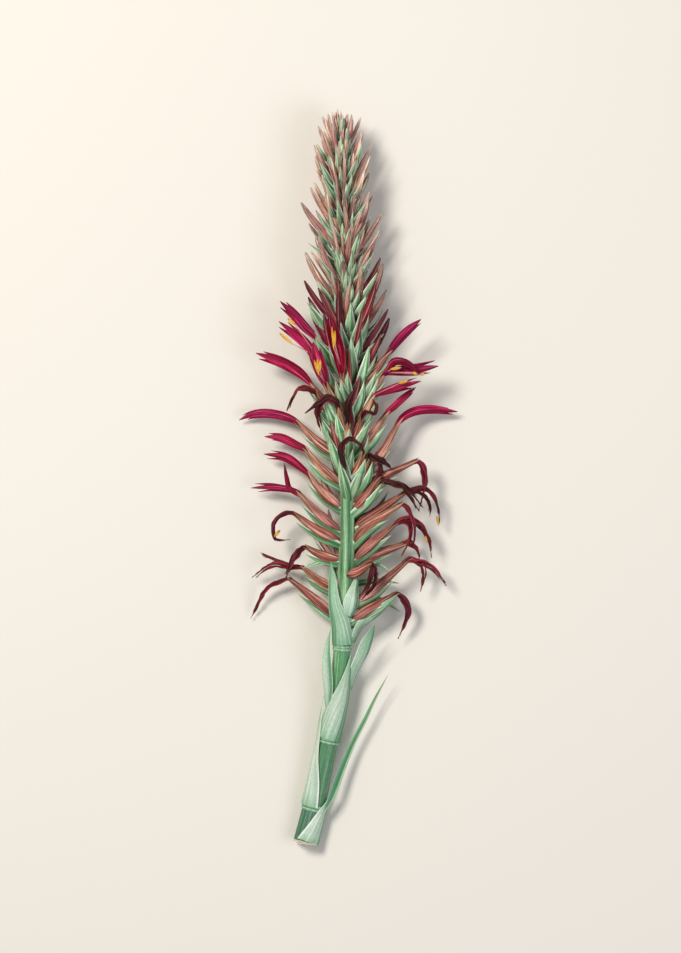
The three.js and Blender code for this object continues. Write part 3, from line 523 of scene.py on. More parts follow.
def shootHeight(i):
    if i >= 0:
        fall = (shoots["pitch"] - shoots["pitchAtTip"]) / (shoots["budCount"] - 1)
        return shoots["budStart"] + shoots["pitch"] * i - 0.5 * fall * i * i
    flowers = round((shoots["budStart"] - shoots["flowerStart"]) / shoots["flowerPitch"])
    if i >= -flowers:
        return shoots["budStart"] + shoots["flowerPitch"] * i
    return shoots["flowerStart"] + shoots["lowerPitch"] * (i + flowers)


def shootTurn(i):
    return shoots["firstTurn"] + i * shoots["goldenAngle"] + shoots["turnSway"] * math.sin(2.4 * i)


# Flowers: root is Y and turn round the stalk (0 up, 90 right), then the calyx's mouth and the petals

freshFlowers = [
    {"root": (283, -75), "mouth": (-17, 302.5, 30),
     "course": [(-23.5, 309, 31), (-31, 317.5, 31), (-39, 325, 30)], "age": 0.25, "spread": 1.8},
    {"root": (267, -55), "mouth": (-14.5, 289, 37),
     "course": [(-22, 297.5, 39), (-30, 305, 39), (-39.5, 312.5, 38)], "age": 0.2, "spread": 2.3},
    {"root": (255, -35), "mouth": (-11.5, 275, 44),
     "course": [(-14, 282.5, 49), (-17, 291.5, 52), (-19, 300, 52)], "halfWidth": 4, "age": 0.45},
    {"root": (257, -95), "mouth": (-20, 275, 27),
     "course": [(-27, 282, 27), (-39, 289, 26), (-53.5, 294, 25)], "halfWidth": 3.3, "age": 0.15,
     "spread": 1.8},
    {"root": (267, -5), "mouth": (-2, 281.5, 42),
     "course": [(-4, 294.5, 48), (-7, 305, 50), (-9.5, 316, 50)], "halfWidth": 5, "hood": True, "age": 0.85},
    {"root": (231, -90), "mouth": (-28, 252, 20),
     "course": [(-36, 256, 16.5), (-47.5, 258, 12), (-57, 257, 9), (-64, 254, 6)], "age": 0.1,
     "spread": 1.2},
    {"root": (215, -85), "mouth": (-23.5, 236, 24),
     "course": [(-29.5, 239, 23), (-38.5, 243, 19), (-48.5, 244, 15)], "halfWidth": 2.6, "age": 0.25,
     "spread": 1.4},
    {"root": (201, -100), "mouth": (-22, 221, 20),
     "course": [(-27, 225.5, 19), (-36, 231.5, 16), (-49, 233.5, 13)], "halfWidth": 2.3, "age": 0.4,
     "spread": 2.2},
    {"root": (187, -90), "mouth": (-27.5, 210, 22),
     "course": [(-33, 212, 20), (-44, 213.5, 16), (-57, 213, 12)],
     "extra": [(-33, 212.5, 20), (-35, 219, 25), (-36.5, 228, 27)], "halfWidth": 1.8, "age": 0.55,
     "spread": 2.4},
    {"root": (271, 75), "mouth": (26.5, 294.5, 33),
     "course": [(31, 300.5, 34), (38.5, 308.5, 35), (45.5, 314, 35)], "age": 0.0, "spread": 0.8},
    {"root": (259, 60), "mouth": (23.5, 281.5, 38), "course": [(33, 283, 39), (44, 284, 37), (56, 286, 34)],
     "extra": [(25, 282.5, 40), (30, 288.5, 45), (38, 287, 45), (44, 281, 42)],
     "age": 0.35, "spread": 3.0},
    {"root": (247, 60), "mouth": (17, 268, 38), "course": [(24.5, 271, 39), (34, 274, 38), (45.5, 277, 35)],
     "halfWidth": 2.2, "age": 0.3},
    {"root": (233, 80), "mouth": (25, 258, 31),
     "course": [(29.5, 262, 31), (35.5, 267.5, 30), (42.5, 273.5, 28)], "halfWidth": 2.2, "age": 0.1,
     "spread": 0.8},
    {"root": (219, 95), "bend": (20.5, 232, 23), "mouth": (32.5, 253, 22),
     "course": [(40, 258.5, 19), (52, 260.5, 14), (68, 259, 9)], "age": 0.0, "spread": 1.0},
]
spentFlowers = [
    {"root": (248, -60), "mouth": (-17, 269.5, 34), "age": 0.6,
     "strands": [[(-23.5, 273, 36), (-28, 272.5, 34), (-32.5, 266, 30), (-35, 259, 27)]]},
    {"root": (242, -20), "mouth": (-4, 260.5, 41), "age": 0.8,
     "strands": [[(-6, 265, 44.5), (-11, 267, 46), (-16.5, 263.5, 46), (-24, 257.5, 42)],
                 [(-6, 265, 44), (-12, 266, 44), (-16.3, 259, 42), (-14.5, 247, 36)]],
     "halfWidth": 2.6, "twist": 60},
    {"root": (235, 8), "mouth": (2, 251.5, 39), "age": 1.0,
     "strands": [[(2, 257, 42), (2.5, 264, 45), (7.5, 274, 47)]], "halfWidth": 3.3, "twist": 20},
    {"root": (238, 45), "mouth": (10, 255, 38), "age": 0.7,
     "strands": [[(12.5, 258, 40), (18, 257.5, 41), (19, 262, 40), (16, 266.5, 39)]]},
    {"root": (218, 35), "mouth": (11, 234, 42), "age": 1.0, "halfWidth": 2.2, "twist": 30,
     "shape": [0.6, 0.55, 0.5, 0.55, 0.7, 1.15, 1.3, 1.0, 0.08],
     "strands": [[(8, 239.5, 45), (3, 242.5, 47.5), (-1.5, 238.5, 48.5), (-1, 230.5, 47.5),
                  (0.5, 223, 46)]]},
    {"root": (208, 60), "mouth": (14, 232, 36), "age": 1.0, "halfWidth": 2.8,
     "strands": [[(17, 231.5, 38), (21, 230, 38), (28, 224.5, 35)]]},
    {"root": (199, 55), "bend": (11.5, 206, 32), "mouth": (20, 219, 32), "age": 0.7,
     "strands": [[(21, 224, 33), (20.5, 228.5, 33), (18.5, 234.5, 33)]]},
    {"root": (208, 88), "bend": (20, 218, 27), "mouth": (42.5, 229, 24), "age": 0.3, "halfWidth": 2.2,
     "strands": [[(45.5, 227.5, 24), (48, 218, 21), (44.5, 200, 17)]]},
    {"root": (204, 70), "mouth": (21.5, 216.5, 33), "age": 0.9,
     "strands": [[(27, 216.5, 34), (34.5, 213, 32.5), (44.5, 199, 27)],
                 [(30.5, 215.5, 32), (38, 212.5, 31), (47, 201, 26)]]},
    {"root": (189, 90), "bend": (12.5, 194, 24), "mouth": (35.5, 210, 22), "age": 0.9, "halfWidth": 2.0,
     "strands": [[(40, 212, 22), (49, 212, 19), (55, 204, 16), (57, 191.5, 12)],
                 [(45, 210.5, 20), (51.5, 203, 17), (51, 195.5, 15)]]},
    {"root": (179, 75), "bend": (9.5, 186.5, 27), "mouth": (33.5, 203, 28), "age": 0.5,
     "strands": [[(36.5, 201, 28), (41, 190, 26), (41, 177, 22)]]},
    {"root": (169, 85), "bend": (10, 174, 24), "mouth": (30.5, 192, 24), "age": 0.4,
     "strands": [[(34, 194, 24), (42, 193, 22), (50, 183, 19), (52, 171, 15)],
                 [(38, 192.5, 23), (39, 182, 20), (34, 172, 17)]]},
    {"root": (161, 115), "bend": (14, 170.5, 18), "mouth": (38, 180, 14), "age": 0.2,
     "strands": [[(41, 178, 13), (44, 174, 12), (44.5, 168.5, 10)]]},
    {"root": (161, 15), "mouth": (15.5, 168, 36), "age": 0.9, "bare": True,
     "strands": [[(17.5, 165, 37), (18, 158, 36), (10, 146, 32)],
                 [(16, 161, 36), (13, 153, 34), (8, 147, 32)]]},
    {"root": (143, 80), "bend": (15, 150, 22), "mouth": (38, 170, 22), "age": 0.35,
     "strands": [[(42.5, 169, 22), (51, 166, 20), (61, 154, 14)],
                 [(46, 167, 20), (47.5, 160, 17), (45.5, 150.5, 13)]]},
    {"root": (133, 80), "bend": (11.5, 138.3, 23), "mouth": (30.5, 149.5, 20), "age": 0.6,
     "strands": [[(34, 147.5, 18), (38, 140, 16), (32, 122, 9)]]},
    {"root": (170, -90), "mouth": (-23.5, 177.5, 23), "age": 0.8,
     "strands": [[(-26.5, 176, 23), (-32, 168.5, 22), (-36.5, 156.5, 19)]]},
    {"root": (151, -95), "mouth": (-25, 165, 17), "age": 0.5,
     "strands": [[(-29.5, 166, 17), (-40, 170, 16), (-51, 174, 13)],
                 [(-32, 165, 17), (-43, 167, 16), (-56, 159, 10)]]},
    {"root": (135, -85), "bend": (-11.5, 140.5, 18), "mouth": (-33.5, 158.5, 14), "age": 0.3,
     "strands": [[(-37, 158, 14), (-47, 153, 11), (-53, 142, 6), (-57, 134, 3)]]},
    {"root": (181, -85), "mouth": (-30, 197.5, 25), "age": 0.7,
     "strands": [[(-35.5, 198.5, 26), (-43, 193, 25), (-42, 182, 22), (-32.5, 182, 21)]]},
]
restingFlowers = [
    {"root": (262, -140), "mouth": (-13, 277, 8), "age": 0.8,
     "strands": [[(-15.5, 284, 3), (-17.5, 292, 0.8), (-18.5, 300, 0.5)]]},
    {"root": (258, 140), "mouth": (14, 273, 8), "age": 0.8,
     "strands": [[(17, 281, 3), (19, 289, 0.8), (20, 297, 0.5)]]},
    {"root": (228, 178), "mouth": (2, 243, 6), "age": 0.8,
     "strands": [[(2.5, 250, 3), (4, 257, 1.2), (6, 264, 1)]]},
]

calyx = {
    "radius": 2.75, "profile": [0.32, 0.78, 1.05, 1.02, 0.84, 0.64, 0.48, 0.38], "sag": 1.2, "sunk": 1.6,
    "clear": 0.35, "slantRoom": 0.972, "steps": 16, "tipPast": 0.07, "twist": 25, "spread": 1.3,
    "flare": 0.35, "flareFrom": 0.88, "step": 0.1, "tintSpread": 0.1,
    "sepal": {"shape": [0.36, 0.8, 1.05, 1.02, 0.82, 0.58, 0.34, 0.02], "across": 6, "lap": 0.34,
              "curl": [1.3, 1.3, 1.3, 1.3, 1.3, 1.1, 0.8, 0.2], "thickness": [0.5, 0.42, 0.42, 0.35, 0.2]},
}


def calyxAxis(flower, steps, reach=(0.0, 1.0), sunk=0.0):
    at = stalkFrame(flower["root"][0])
    out = outward(at, flower["root"][1])
    mouth = np.array(flower["mouth"], float)
    slant = abs(unit(mouth - at["middle"]).dot(at["ahead"]))
    start = at["middle"] + out * (at["radius"] + calyx["clear"] + calyx["slantRoom"] * slant)
    middle = np.array(flower.get("bend", (start + mouth) / 2 - at["ahead"] * calyx["sag"]), float)
    return routeThrough([start - out * sunk, middle, mouth], steps, reach)


def addSepals(pile, flower, age):
    # three sepals rolled round the flower's middle line, whose tips part a little at the mouth
    axis = calyxAxis(flower, calyx["steps"], (0.0, 1 + calyx["tipPast"]), calyx["sunk"])
    t = np.linspace(0, 1, len(axis))
    parting = np.clip((t - calyx["flareFrom"]) / (1 - calyx["flareFrom"]), 0, 1) ** 2
    radius = smoothThrough(calyx["profile"], t) * calyx["radius"] + calyx["flare"] * parting
    roll = chance.uniform(0, 120)
    tint = chance.random()
    for k in range(3):
        frames = framesAlong(axis, upwards, roll + 120 * k + calyx["twist"] * t, carried=True)
        skin = axis + frames[1] * (radius + calyx["step"] * k)[:, None]
        addBlade(pile, skin, frames, calyx["radius"] * calyx["spread"], calyx["sepal"],
                 tint=tint + chance.uniform(-1, 1) * calyx["tintSpread"], age=age)


def petalRoute(flower, steps):
    inside = calyxAxis(flower, 2, (0.7, 1.0))[0]
    return routeThrough([inside, flower["mouth"], *flower["course"]], steps)


petalBlade = {"shape": [0.4, 0.55, 0.85, 1.0, 0.95, 0.8, 0.5, 0.05], "across": 8,
              "curl": [1.5, 1.4, 1.1, 0.95, 0.85, 0.75, 0.5], "thickness": [0.7, 0.5, 0.5, 0.4, 0.2]}
petals = {
    "halfWidth": 2.9, "spread": 2.6, "steps": 22, "lowerShare": 0.66, "extraShare": 0.95, "turn": 10,
    "aside": 0.3, "below": (0.7, 1.1, 0.35), "lean": 28, "lowerReach": (0.93, 0.05), "partPower": 2.2,
    "lowerAge": 0.15, "extraAge": 0.45,
    "upper": {**petalBlade, "shape": [0.42, 0.5, 0.72, 0.93, 1.0, 0.95, 0.78, 0.5, 0.06], "ripple": 0.22,
              "waves": 2.2, "crease": 0.06},
    "lower": {**petalBlade, "ripple": 0.2, "waves": 1.8, "crease": 0.05},
    "extra": {**petalBlade, "ripple": 0.25, "waves": 2.5},
    "hood": {"shape": [0.3, 0.42, 0.66, 0.86, 0.98, 1.0, 0.9, 0.66, 0.16], "across": 12, "ripple": 0.25,
             "curl": [0.9, 1.1, 1.2, 1.15, 1.1, 1.2], "thickness": [0.7, 0.5, 0.4, 0.25], "waves": 1.8,
             "crease": 0.03},
    "hoodPhase": 1.0, "inHood": 0.55, "overHood": 0.6,
}


def addPetals(pile, flower):
    # a broad upper petal over two narrower ones, which part from it towards their tips
    width = flower.get("halfWidth", petals["halfWidth"])
    spread = flower.get("spread", petals["spread"])
    age, steps = flower["age"], petals["steps"]
    route = petalRoute(flower, steps)
    t = np.linspace(0, 1, len(route))
    frames = framesAlong(route, upwards, chance.uniform(-1, 1) * petals["turn"] * t)
    if flower.get("hood"):
        # one broad petal, hollow towards the viewer, holds the others and the anthers
        hollow = framesAlong(route, -upwards)
        addBlade(pile, route, hollow, width, petals["hood"], petals["hoodPhase"], age=age)
        width = petals["halfWidth"]
        route = routeThrough(route + frames[1] * petals["overHood"], steps, (0.0, petals["inHood"]))
        frames = framesAlong(route, upwards)
    addBlade(pile, route, frames, width, petals["upper"], chance.uniform(0, 6), age=age)
    part = t ** petals["partPower"] * spread
    down, downAlong, downParted = petals["below"]
    for hand in (-1, 1):
        aside = hand * (petals["aside"] * width * np.sin(np.pi * t * 0.6) + part)
        lower = route + frames[2] * aside[:, None]
        lower = lower - frames[1] * (down + downAlong * t + downParted * part)[:, None]
        reach, uneven = petals["lowerReach"]
        lower = routeThrough(lower, steps, (0.0, reach + uneven * hand * math.sin(7 * width + spread)))
        leaning = framesAlong(lower, upwards, hand * -petals["lean"] * t)
        addBlade(pile, lower, leaning, width * petals["lowerShare"], petals["lower"], chance.uniform(0, 6),
                 age=min(1, age + petals["lowerAge"]))
    if "extra" in flower:
        more = routeThrough([route[2], *flower["extra"]], steps)
        addBlade(pile, more, framesAlong(more, upwards), width * petals["extraShare"], petals["extra"],
                 age=min(1, age + petals["extraAge"]))


strands = {
    "halfWidth": 2.3, "steps": 26, "twist": 130, "shreds": 2, "shredShare": 0.6, "shredReach": (0.74, 0.97),
    "shredTwist": (160, 320), "bulge": 0.9, "parting": (0.8, 2.2), "ageSpread": (-0.3, 0.3), "lowest": 0.6,
    "shape": [0.5, 0.62, 0.85, 1.0, 0.95, 0.82, 0.62, 0.36, 0.05],
    "ribbon": {"curl": [1.6, 1.5, 1.3, 1.2, 1.3, 1.1], "thickness": [0.7, 0.55, 0.5, 0.25], "across": 6,
               "ripple": 0.4, "waves": 4.5, "crease": 0.12},
    "shred": {"curl": [1.4, 1.2, 1.0], "thickness": [0.5, 0.45, 0.2], "across": 4, "ripple": 0.3, "waves": 5},
}


def addStrands(pile, flower):
    # each withered petal is a curled ribbon, with thinner shreds beside it that part from it
    look = {**strands, **flower}
    ribbon, shred = ({**strands[key], "shape": look["shape"]} for key in ("ribbon", "shred"))
    inside = calyxAxis(flower, 2, (0.8, 1.0))[0]
    for hand, course in zip((1, -1), flower["strands"]):
        route = routeThrough([inside, flower["mouth"], *course], strands["steps"])
        t = np.linspace(0, 1, len(route))
        frames = framesAlong(route, upwards, hand * look["twist"] * t, carried=True)
        addBlade(pile, route, frames, look["halfWidth"], ribbon, chance.uniform(0, 6), age=flower["age"])
        for n in range(strands["shreds"]):
            way = chance.uniform(0, 2 * math.pi)
            reach = chance.uniform(*strands["shredReach"])
            part = strands["bulge"] * np.sin(np.pi * np.minimum(1, t * 1.2))
            part = part + chance.uniform(*strands["parting"]) * t**3
            shift = (frames[2] * math.cos(way) + frames[1] * math.sin(way)) * part[:, None]
            beside = np.maximum(route + shift, [-999, -999, strands["lowest"]])
            beside = routeThrough(beside, strands["steps"], (0.0, reach))
            twist = -hand * chance.uniform(*strands["shredTwist"])
            twisted = framesAlong(beside, upwards, twist * t, carried=True)
            addBlade(pile, beside, twisted, look["halfWidth"] * strands["shredShare"], shred,
                     chance.uniform(0, 6),
                     age=min(1, max(0, flower["age"] + chance.uniform(*strands["ageSpread"]))))


# Geometry Nodes: tubes along paths, and shoots set on their sites

def newTree(name, sizes):
    # sizes maps an input's name to its default, or to its socket type where it has none
    tree = bpy.data.node_groups.new(name, "GeometryNodeTree")
    for key, value in {"Geometry": "NodeSocketGeometry", **sizes, "Material": "NodeSocketMaterial"}.items():
        kind = value if isinstance(value, str) else f"NodeSocket{type(value).__name__.title()}"
        socket = tree.interface.new_socket(key, in_out="INPUT", socket_type=kind)
        if not isinstance(value, str):
            socket.default_value = value
    tree.interface.new_socket("Geometry", in_out="OUTPUT", socket_type="NodeSocketGeometry")
    return tree, addNode(tree, "NodeGroupInput").outputs


def finishTree(tree, given, shape):
    # plain geometry, which nowhere reaches below the surface that the spike lies on
    shape = addNode(tree, "GeometryNodeRealizeInstances", {0: shape})
    above = addNode(tree, "ShaderNodeVectorMath", {
        0: addNode(tree, "GeometryNodeInputPosition"), 1: (-9.0, -9.0, plate["lowest"] / 1000)},
        operation="MAXIMUM")
    shape = addNode(tree, "GeometryNodeSetPosition", {"Geometry": shape, "Position": above})
    shape = addNode(tree, "GeometryNodeSetShadeSmooth", {0: shape})
    shape = addNode(tree, "GeometryNodeSetMaterial", {"Geometry": shape, "Material": given["Material"]})
    addNode(tree, "NodeGroupOutput", {0: shape})
    return tree


def runTree(name, tree, source, values):
    # the tree's result on a source mesh, as an object with a plain mesh
    piece = bpy.data.objects.new(name, source)
    bpy.context.scene.collection.objects.link(piece)
    modifier = piece.modifiers.new("build", "NODES")
    modifier.node_group = tree
    sockets = {item.name: item.identifier for item in tree.interface.items_tree if item.in_out == "INPUT"}
    for key, value in values.items():
        modifier[sockets[key]] = value
    graph = bpy.context.evaluated_depsgraph_get()
    made = bpy.data.meshes.new_from_object(piece.evaluated_get(graph), preserve_all_data_layers=True,
                                           depsgraph=graph)
    piece.modifiers.clear()
    piece.data = made
    made.name = name
    return piece


def pathMesh(name, paths):
    # each path is points in mm, a radius for each point, a tint and an age
    mesh = bpy.data.meshes.new(name)
    points, edges, values = [], [], {"radius": [], "tint": [], "age": [], "along": []}
    for path, girth, tint, age in paths:
        edges += [(len(points) + i, len(points) + i + 1) for i in range(len(path) - 1)]
        points += inMetres(path).tolist()
        along = np.linspace(0, 1, len(path))
        for key, part in zip(values, (np.array(girth) / 1000, tint + 0 * along, age + 0 * along, along)):
            values[key] += part.tolist()
    mesh.from_pydata(points, edges, [])
    for key, part in values.items():
        storeValues(mesh, key, part)
    return mesh


def sweepTube(tree, given, curve, girth):
    # a round tube along the curve, whose points know their share of the way round it
    circle = addNode(tree, "GeometryNodeCurvePrimitiveCircle", {"Resolution": given["Sides"], "Radius": 1.0})
    share = addNode(tree, "GeometryNodeSplineParameter").outputs["Factor"]
    circle = addNode(tree, storeNode, {"Geometry": circle.outputs["Curve"], "Name": "around", "Value": share})
    return addNode(tree, "GeometryNodeCurveToMesh", {"Curve": curve, "Profile Curve": circle, "Scale": girth,
                                                     "Fill Caps": True})


def storePlaces(tree, given, tube, across, along):
    # the same places on a tube as on a blade
    gone = addNode(tree, mathNode, {0: along, 1: given["Length mm"]}, operation="MULTIPLY")
    places = addNode(tree, "ShaderNodeCombineXYZ", {0: across, 1: along, 2: gone})
    return addNode(tree, storeNode, {"Geometry": tube, "Name": "blade", "Value": places},
                   data_type="FLOAT_VECTOR")


def tubeTree():
    # a round tube along every path; each point's radius is its own, times Girth
    tree, given = newTree("tube_along_paths", {"Girth": 1.0, "Sides": 8, "Length mm": 20.0})
    curve = addNode(tree, "GeometryNodeMeshToCurve", {0: given["Geometry"]})
    radius, around, along = (addNode(tree, namedNode, {"Name": key}) for key in ("radius", "around", "along"))
    girth = addNode(tree, mathNode, {0: radius, 1: given["Girth"]}, operation="MULTIPLY")
    tube = sweepTube(tree, given, curve, girth)
    across = addNode(tree, rangeNode, {0: around, 3: -1.0, 4: 1.0})
    return finishTree(tree, given, storePlaces(tree, given, tube, across, along))


def shootTree():
    # one of a few unit shapes on every site, turned to its ahead and back, as long and wide as the site says
    tree, given = newTree("shoots_on_sites", {"Shapes": "NodeSocketCollection", "Length": 1.0, "Width": 1.0,
                                              "Roll": 0.12, "Uneven": 0.06, "Seed": 3})
    shapes = addNode(tree, "GeometryNodeCollectionInfo", {
        "Collection": given["Shapes"], "Separate Children": True, "Reset Children": True})
    ahead, back = (
        addNode(tree, namedNode, {"Name": key}, data_type="FLOAT_VECTOR") for key in ("ahead", "back"))
    facing = addNode(tree, "FunctionNodeAxesToRotation", {"Primary Axis": ahead, "Secondary Axis": back},
                     primary_axis="Y", secondary_axis="Z")
    lowRoll = addNode(tree, mathNode, {0: given["Roll"], 1: -1.0}, operation="MULTIPLY")
    roll = addNode(tree, randomNode, {2: lowRoll, 3: given["Roll"], "Seed": given["Seed"]})
    rolled = addNode(tree, "FunctionNodeAxisAngleToRotation", {"Axis": (0.0, 1.0, 0.0), "Angle": roll})
    facing = addNode(tree, "FunctionNodeRotateRotation", {"Rotation": facing, "Rotate By": rolled},
                     rotation_space="LOCAL")
    low, high = (
        addNode(tree, mathNode, {0: 1.0, 1: given["Uneven"]}, operation=way) for way in ("SUBTRACT", "ADD"))
    seed = addNode(tree, mathNode, {0: given["Seed"], 1: 11.0}, operation="ADD")
    uneven = addNode(tree, randomNode, {2: low, 3: high, "Seed": seed})
    long, wide = (
        addNode(tree, mathNode, {0: addNode(tree, namedNode, {"Name": key}), 1: given[size]},
                operation="MULTIPLY")
        for key, size in (("length", "Length"), ("halfWidth", "Width")))
    long = addNode(tree, mathNode, {0: long, 1: uneven}, operation="MULTIPLY")
    scale = addNode(tree, "ShaderNodeCombineXYZ", {0: wide, 1: long, 2: long})
    pick = addNode(tree, randomNode, {4: 0, 5: 2, "Seed": given["Seed"]}, data_type="INT")
    grown = addNode(tree, "GeometryNodeInstanceOnPoints", {
        "Points": given["Geometry"], "Instance": shapes, "Pick Instance": True, "Instance Index": pick,
        "Rotation": facing, "Scale": scale})
    return finishTree(tree, given, grown)


tubesAlongPaths = tubeTree()
shootsOnSites = shootTree()
print("node trees made")

# The stalk: a ridged tube along its own line

def stalkTree():
    tree, given = newTree("ridged_stalk", {
        "Sides": 36, "Ridges": 5.0, "Ridge depth": 0.0005, "Ridge spin": 0.6, "Ring rise": 0.0006,
        "Unevenness": 0.0002, "Length mm": 426.0})
    curve = addNode(tree, "GeometryNodeMeshToCurve", {0: given["Geometry"]})
    curve = addNode(tree, "GeometryNodeSetCurveNormal", {0: curve}, mode="Z_UP")
    radius, ridge, ring, along, around = (
        addNode(tree, namedNode, {"Name": key}) for key in ("radius", "ridge", "ring", "along", "around"))
    tube = sweepTube(tree, given, curve, radius)
    wave = along
    for way, value in (("MULTIPLY", given["Ridge spin"]), ("ADD", around), ("MULTIPLY", given["Ridges"]),
                       ("MULTIPLY", math.pi), ("SINE", 0.0), ("ABSOLUTE", 0.0)):
        wave = addNode(tree, mathNode, {0: wave, 1: value}, operation=way)
    grooveShade = addNode(tree, mathNode, {0: wave, 1: ridge}, operation="MULTIPLY")
    rise = addNode(tree, mathNode, {0: 0.6, 1: wave}, operation="SUBTRACT")
    for size in (ridge, given["Ridge depth"]):
        rise = addNode(tree, mathNode, {0: rise, 1: size}, operation="MULTIPLY")
    knobbly = addNode(tree, "ShaderNodeTexNoise", {"Scale": 110.0, "Detail": 2.0})
    knobbly = addNode(tree, mathNode, {0: knobbly.outputs["Fac"], 1: 0.5}, operation="SUBTRACT")
    for source, size in ((ring, given["Ring rise"]), (knobbly, given["Unevenness"])):
        rise = addNode(tree, mathNode, {0: source, 1: size, 2: rise}, operation="MULTIPLY_ADD")
    push = addNode(tree, "ShaderNodeVectorMath", {0: addNode(tree, "GeometryNodeInputNormal"), "Scale": rise},
                   operation="SCALE")
    tube = addNode(tree, "GeometryNodeSetPosition", {"Geometry": tube, "Offset": push})
    # painted shade: the grooves between the ridges are stored as age, so the stalk's darker old tone falls in
    # them
    tube = addNode(tree, storeNode, {"Geometry": tube, "Name": "age", "Value": grooveShade})
    mirrored = addNode(tree, mathNode, {0: around, 1: 0.5}, operation="SUBTRACT")
    mirrored = addNode(tree, mathNode, {0: mirrored}, operation="ABSOLUTE")
    across = addNode(tree, rangeNode, {0: mirrored, 1: 0.0, 2: 0.5, 3: 1.0, 4: -1.0})
    return finishTree(tree, given, storePlaces(tree, given, tube, across, along))


def growStalk():
    heights = set(np.arange(0, stalk["end"] + 0.1, stalk["step"]).round(2))
    for ring in stalk["rings"]:
        heights |= set((ring + np.linspace(-1, 1, 9) * stalk["ringHalf"]).round(2))
    heights = np.array(sorted(heights))
    route = [stalkMiddle(y) for y in heights]
    line = pathMesh("stalk_line", [(route, [stalkFrame(y)["radius"] for y in heights], 0.5, 0.0)])
    ring = sum(np.clip(1 - np.abs(heights - y) / stalk["ringHalf"], 0, 1) for y in stalk["rings"])
    storeValues(line, "ridge", np.clip((heights - stalk["ridgeFrom"]) / stalk["ridgeRun"], 0, 1))
    storeValues(line, "ring", np.sqrt(ring))
    scape = runTree("scape", stalkTree(), line, {
        "Sides": stalk["sides"], "Ridges": float(stalk["ridges"]), "Ridge depth": stalk["ridgeDepth"] / 1000,
        "Ring rise": stalk["ringRise"] / 1000, "Length mm": float(stalk["end"]), "Material": stalkSkin})
    showPiece(scape, ["flower_stalk"])


# Cut face: wet pale pith inside a green rim, dotted with the ends of the stalk's fibres, with painted
# highlights on the crests
cutSkin = bladeMaterial("cut_pith", {
    "young": [(0.0, "#5f9a78"), (0.25, "#b4d0ae"), (0.4, "#e6ecd2"), (1.0, "#f4f2da")],
    "old": [(0.0, "#efdfcb"), (1.0, "#f3e6d4")], "line": "#8fa270", "lineDepth": 0.45, "crestHighlight": "#fbfaea",
    "crestHighlightDepth": 0.5, "rim": "#e6ecd2", "rimFrom": 0.9, "rimDepth": 0.0, "fibres": 6.0, "fibreStretch": 6.0,
    "patchScale": 1500.0, "mottle": 0.25, "spread": 0.0, "hueSpread": 0.0, "rough": 0.4, "bump": 0.6,
    "wrinkle": 1.0, "coat": 0.2,
})

cut = {"y": 0.1, "out": (-0.4, 0.3, 0.8, 1.1, 1.3), "radius": (0.99, 0.985, 0.93, 0.6, 0.06),
       "section": {"sides": 30, "lobes": 10, "lap": 0.015}}


def cutEnd():
    at = stalkFrame(cut["y"])
    route = np.array([at["middle"] - at["ahead"] * out for out in cut["out"]])
    radius = [at["radius"] * share for share in cut["radius"]]
    pile = newPile()
    addShape(pile, spindleShape(route, framesAlong(route, upwards), radius, **cut["section"]), 0.5)
    makePiece("cut_end", pile, cutSkin, ["flower_stalk"])


rim = {
    "radius": (0.35, 0.55), "rise": (-0.2, 0.95), "stepsEach": 0.3, "soften": (0.25, 0.5, 0.25),
    "section": {"sides": 7, "lobes": 1, "lap": 0.0},
    "stalk": {"y": 0.1, "away": -0.3, "turns": (180, 540), "seed": 5},
    "sheath": {"y": -0.8, "away": 1.1, "turns": (-34, 110), "seed": 6},
}


def tornRim(pile, edge):
    # skin and fibres that the cut tore, as a ragged pale edge
    at = stalkFrame(edge["y"])
    ragged = np.random.default_rng(edge["seed"])
    first, last = edge["turns"]
    steps = int((last - first) * rim["stepsEach"])
    rises = np.convolve(ragged.uniform(*rim["rise"], steps + 3), rim["soften"], "valid")
    if last - first == 360:
        rises[-1] = rises[0]
    route = np.array([at["middle"] + outward(at, angle) * (at["radius"] + edge["away"]) - at["ahead"] * rise
                      for angle, rise in zip(np.linspace(first, last, steps + 1), rises)])
    radius = ragged.uniform(*rim["radius"], steps + 1)
    addShape(pile, spindleShape(route, framesAlong(route, at["ahead"]), radius, **rim["section"]), age=1.0)


collars = {"rises": [0.15, 0.75, 0.35, 0.8, 0.2], "half": 1.9, "steps": 16,
           "section": {"sides": 36, "lobes": 12, "lap": 0.01}}


def nodeCollars():
    # a double ridge round the stalk where a sheath grows from it
    pile = newPile()
    for ring in stalk["rings"]:
        heights = ring + np.linspace(-1, 1, len(collars["rises"])) * collars["half"]
        route = routeThrough([stalkMiddle(y) for y in heights], collars["steps"])
        radius = [stalkFrame(ring)["radius"] + rise for rise in collars["rises"]]
        frames = framesAlong(route, upwards)
        addShape(pile, spindleShape(route, frames, radius, **collars["section"]), 0.5, 0.7)
    makePiece("node_collars", pile, sheathSkin)


growStalk()
cutEnd()
nodeCollars()
print("stalk grown")

# Sheath bracts and the basal leaf

sheaths = {
    "closer": 0.8, "curlOff": 1.2, "steps": 34,
    "skin": {"thickness": [0.8, 0.8, 0.64, 0.3], "across": 16, "ripple": 0.3, "waves": 1.6, "crease": 0.03},
}
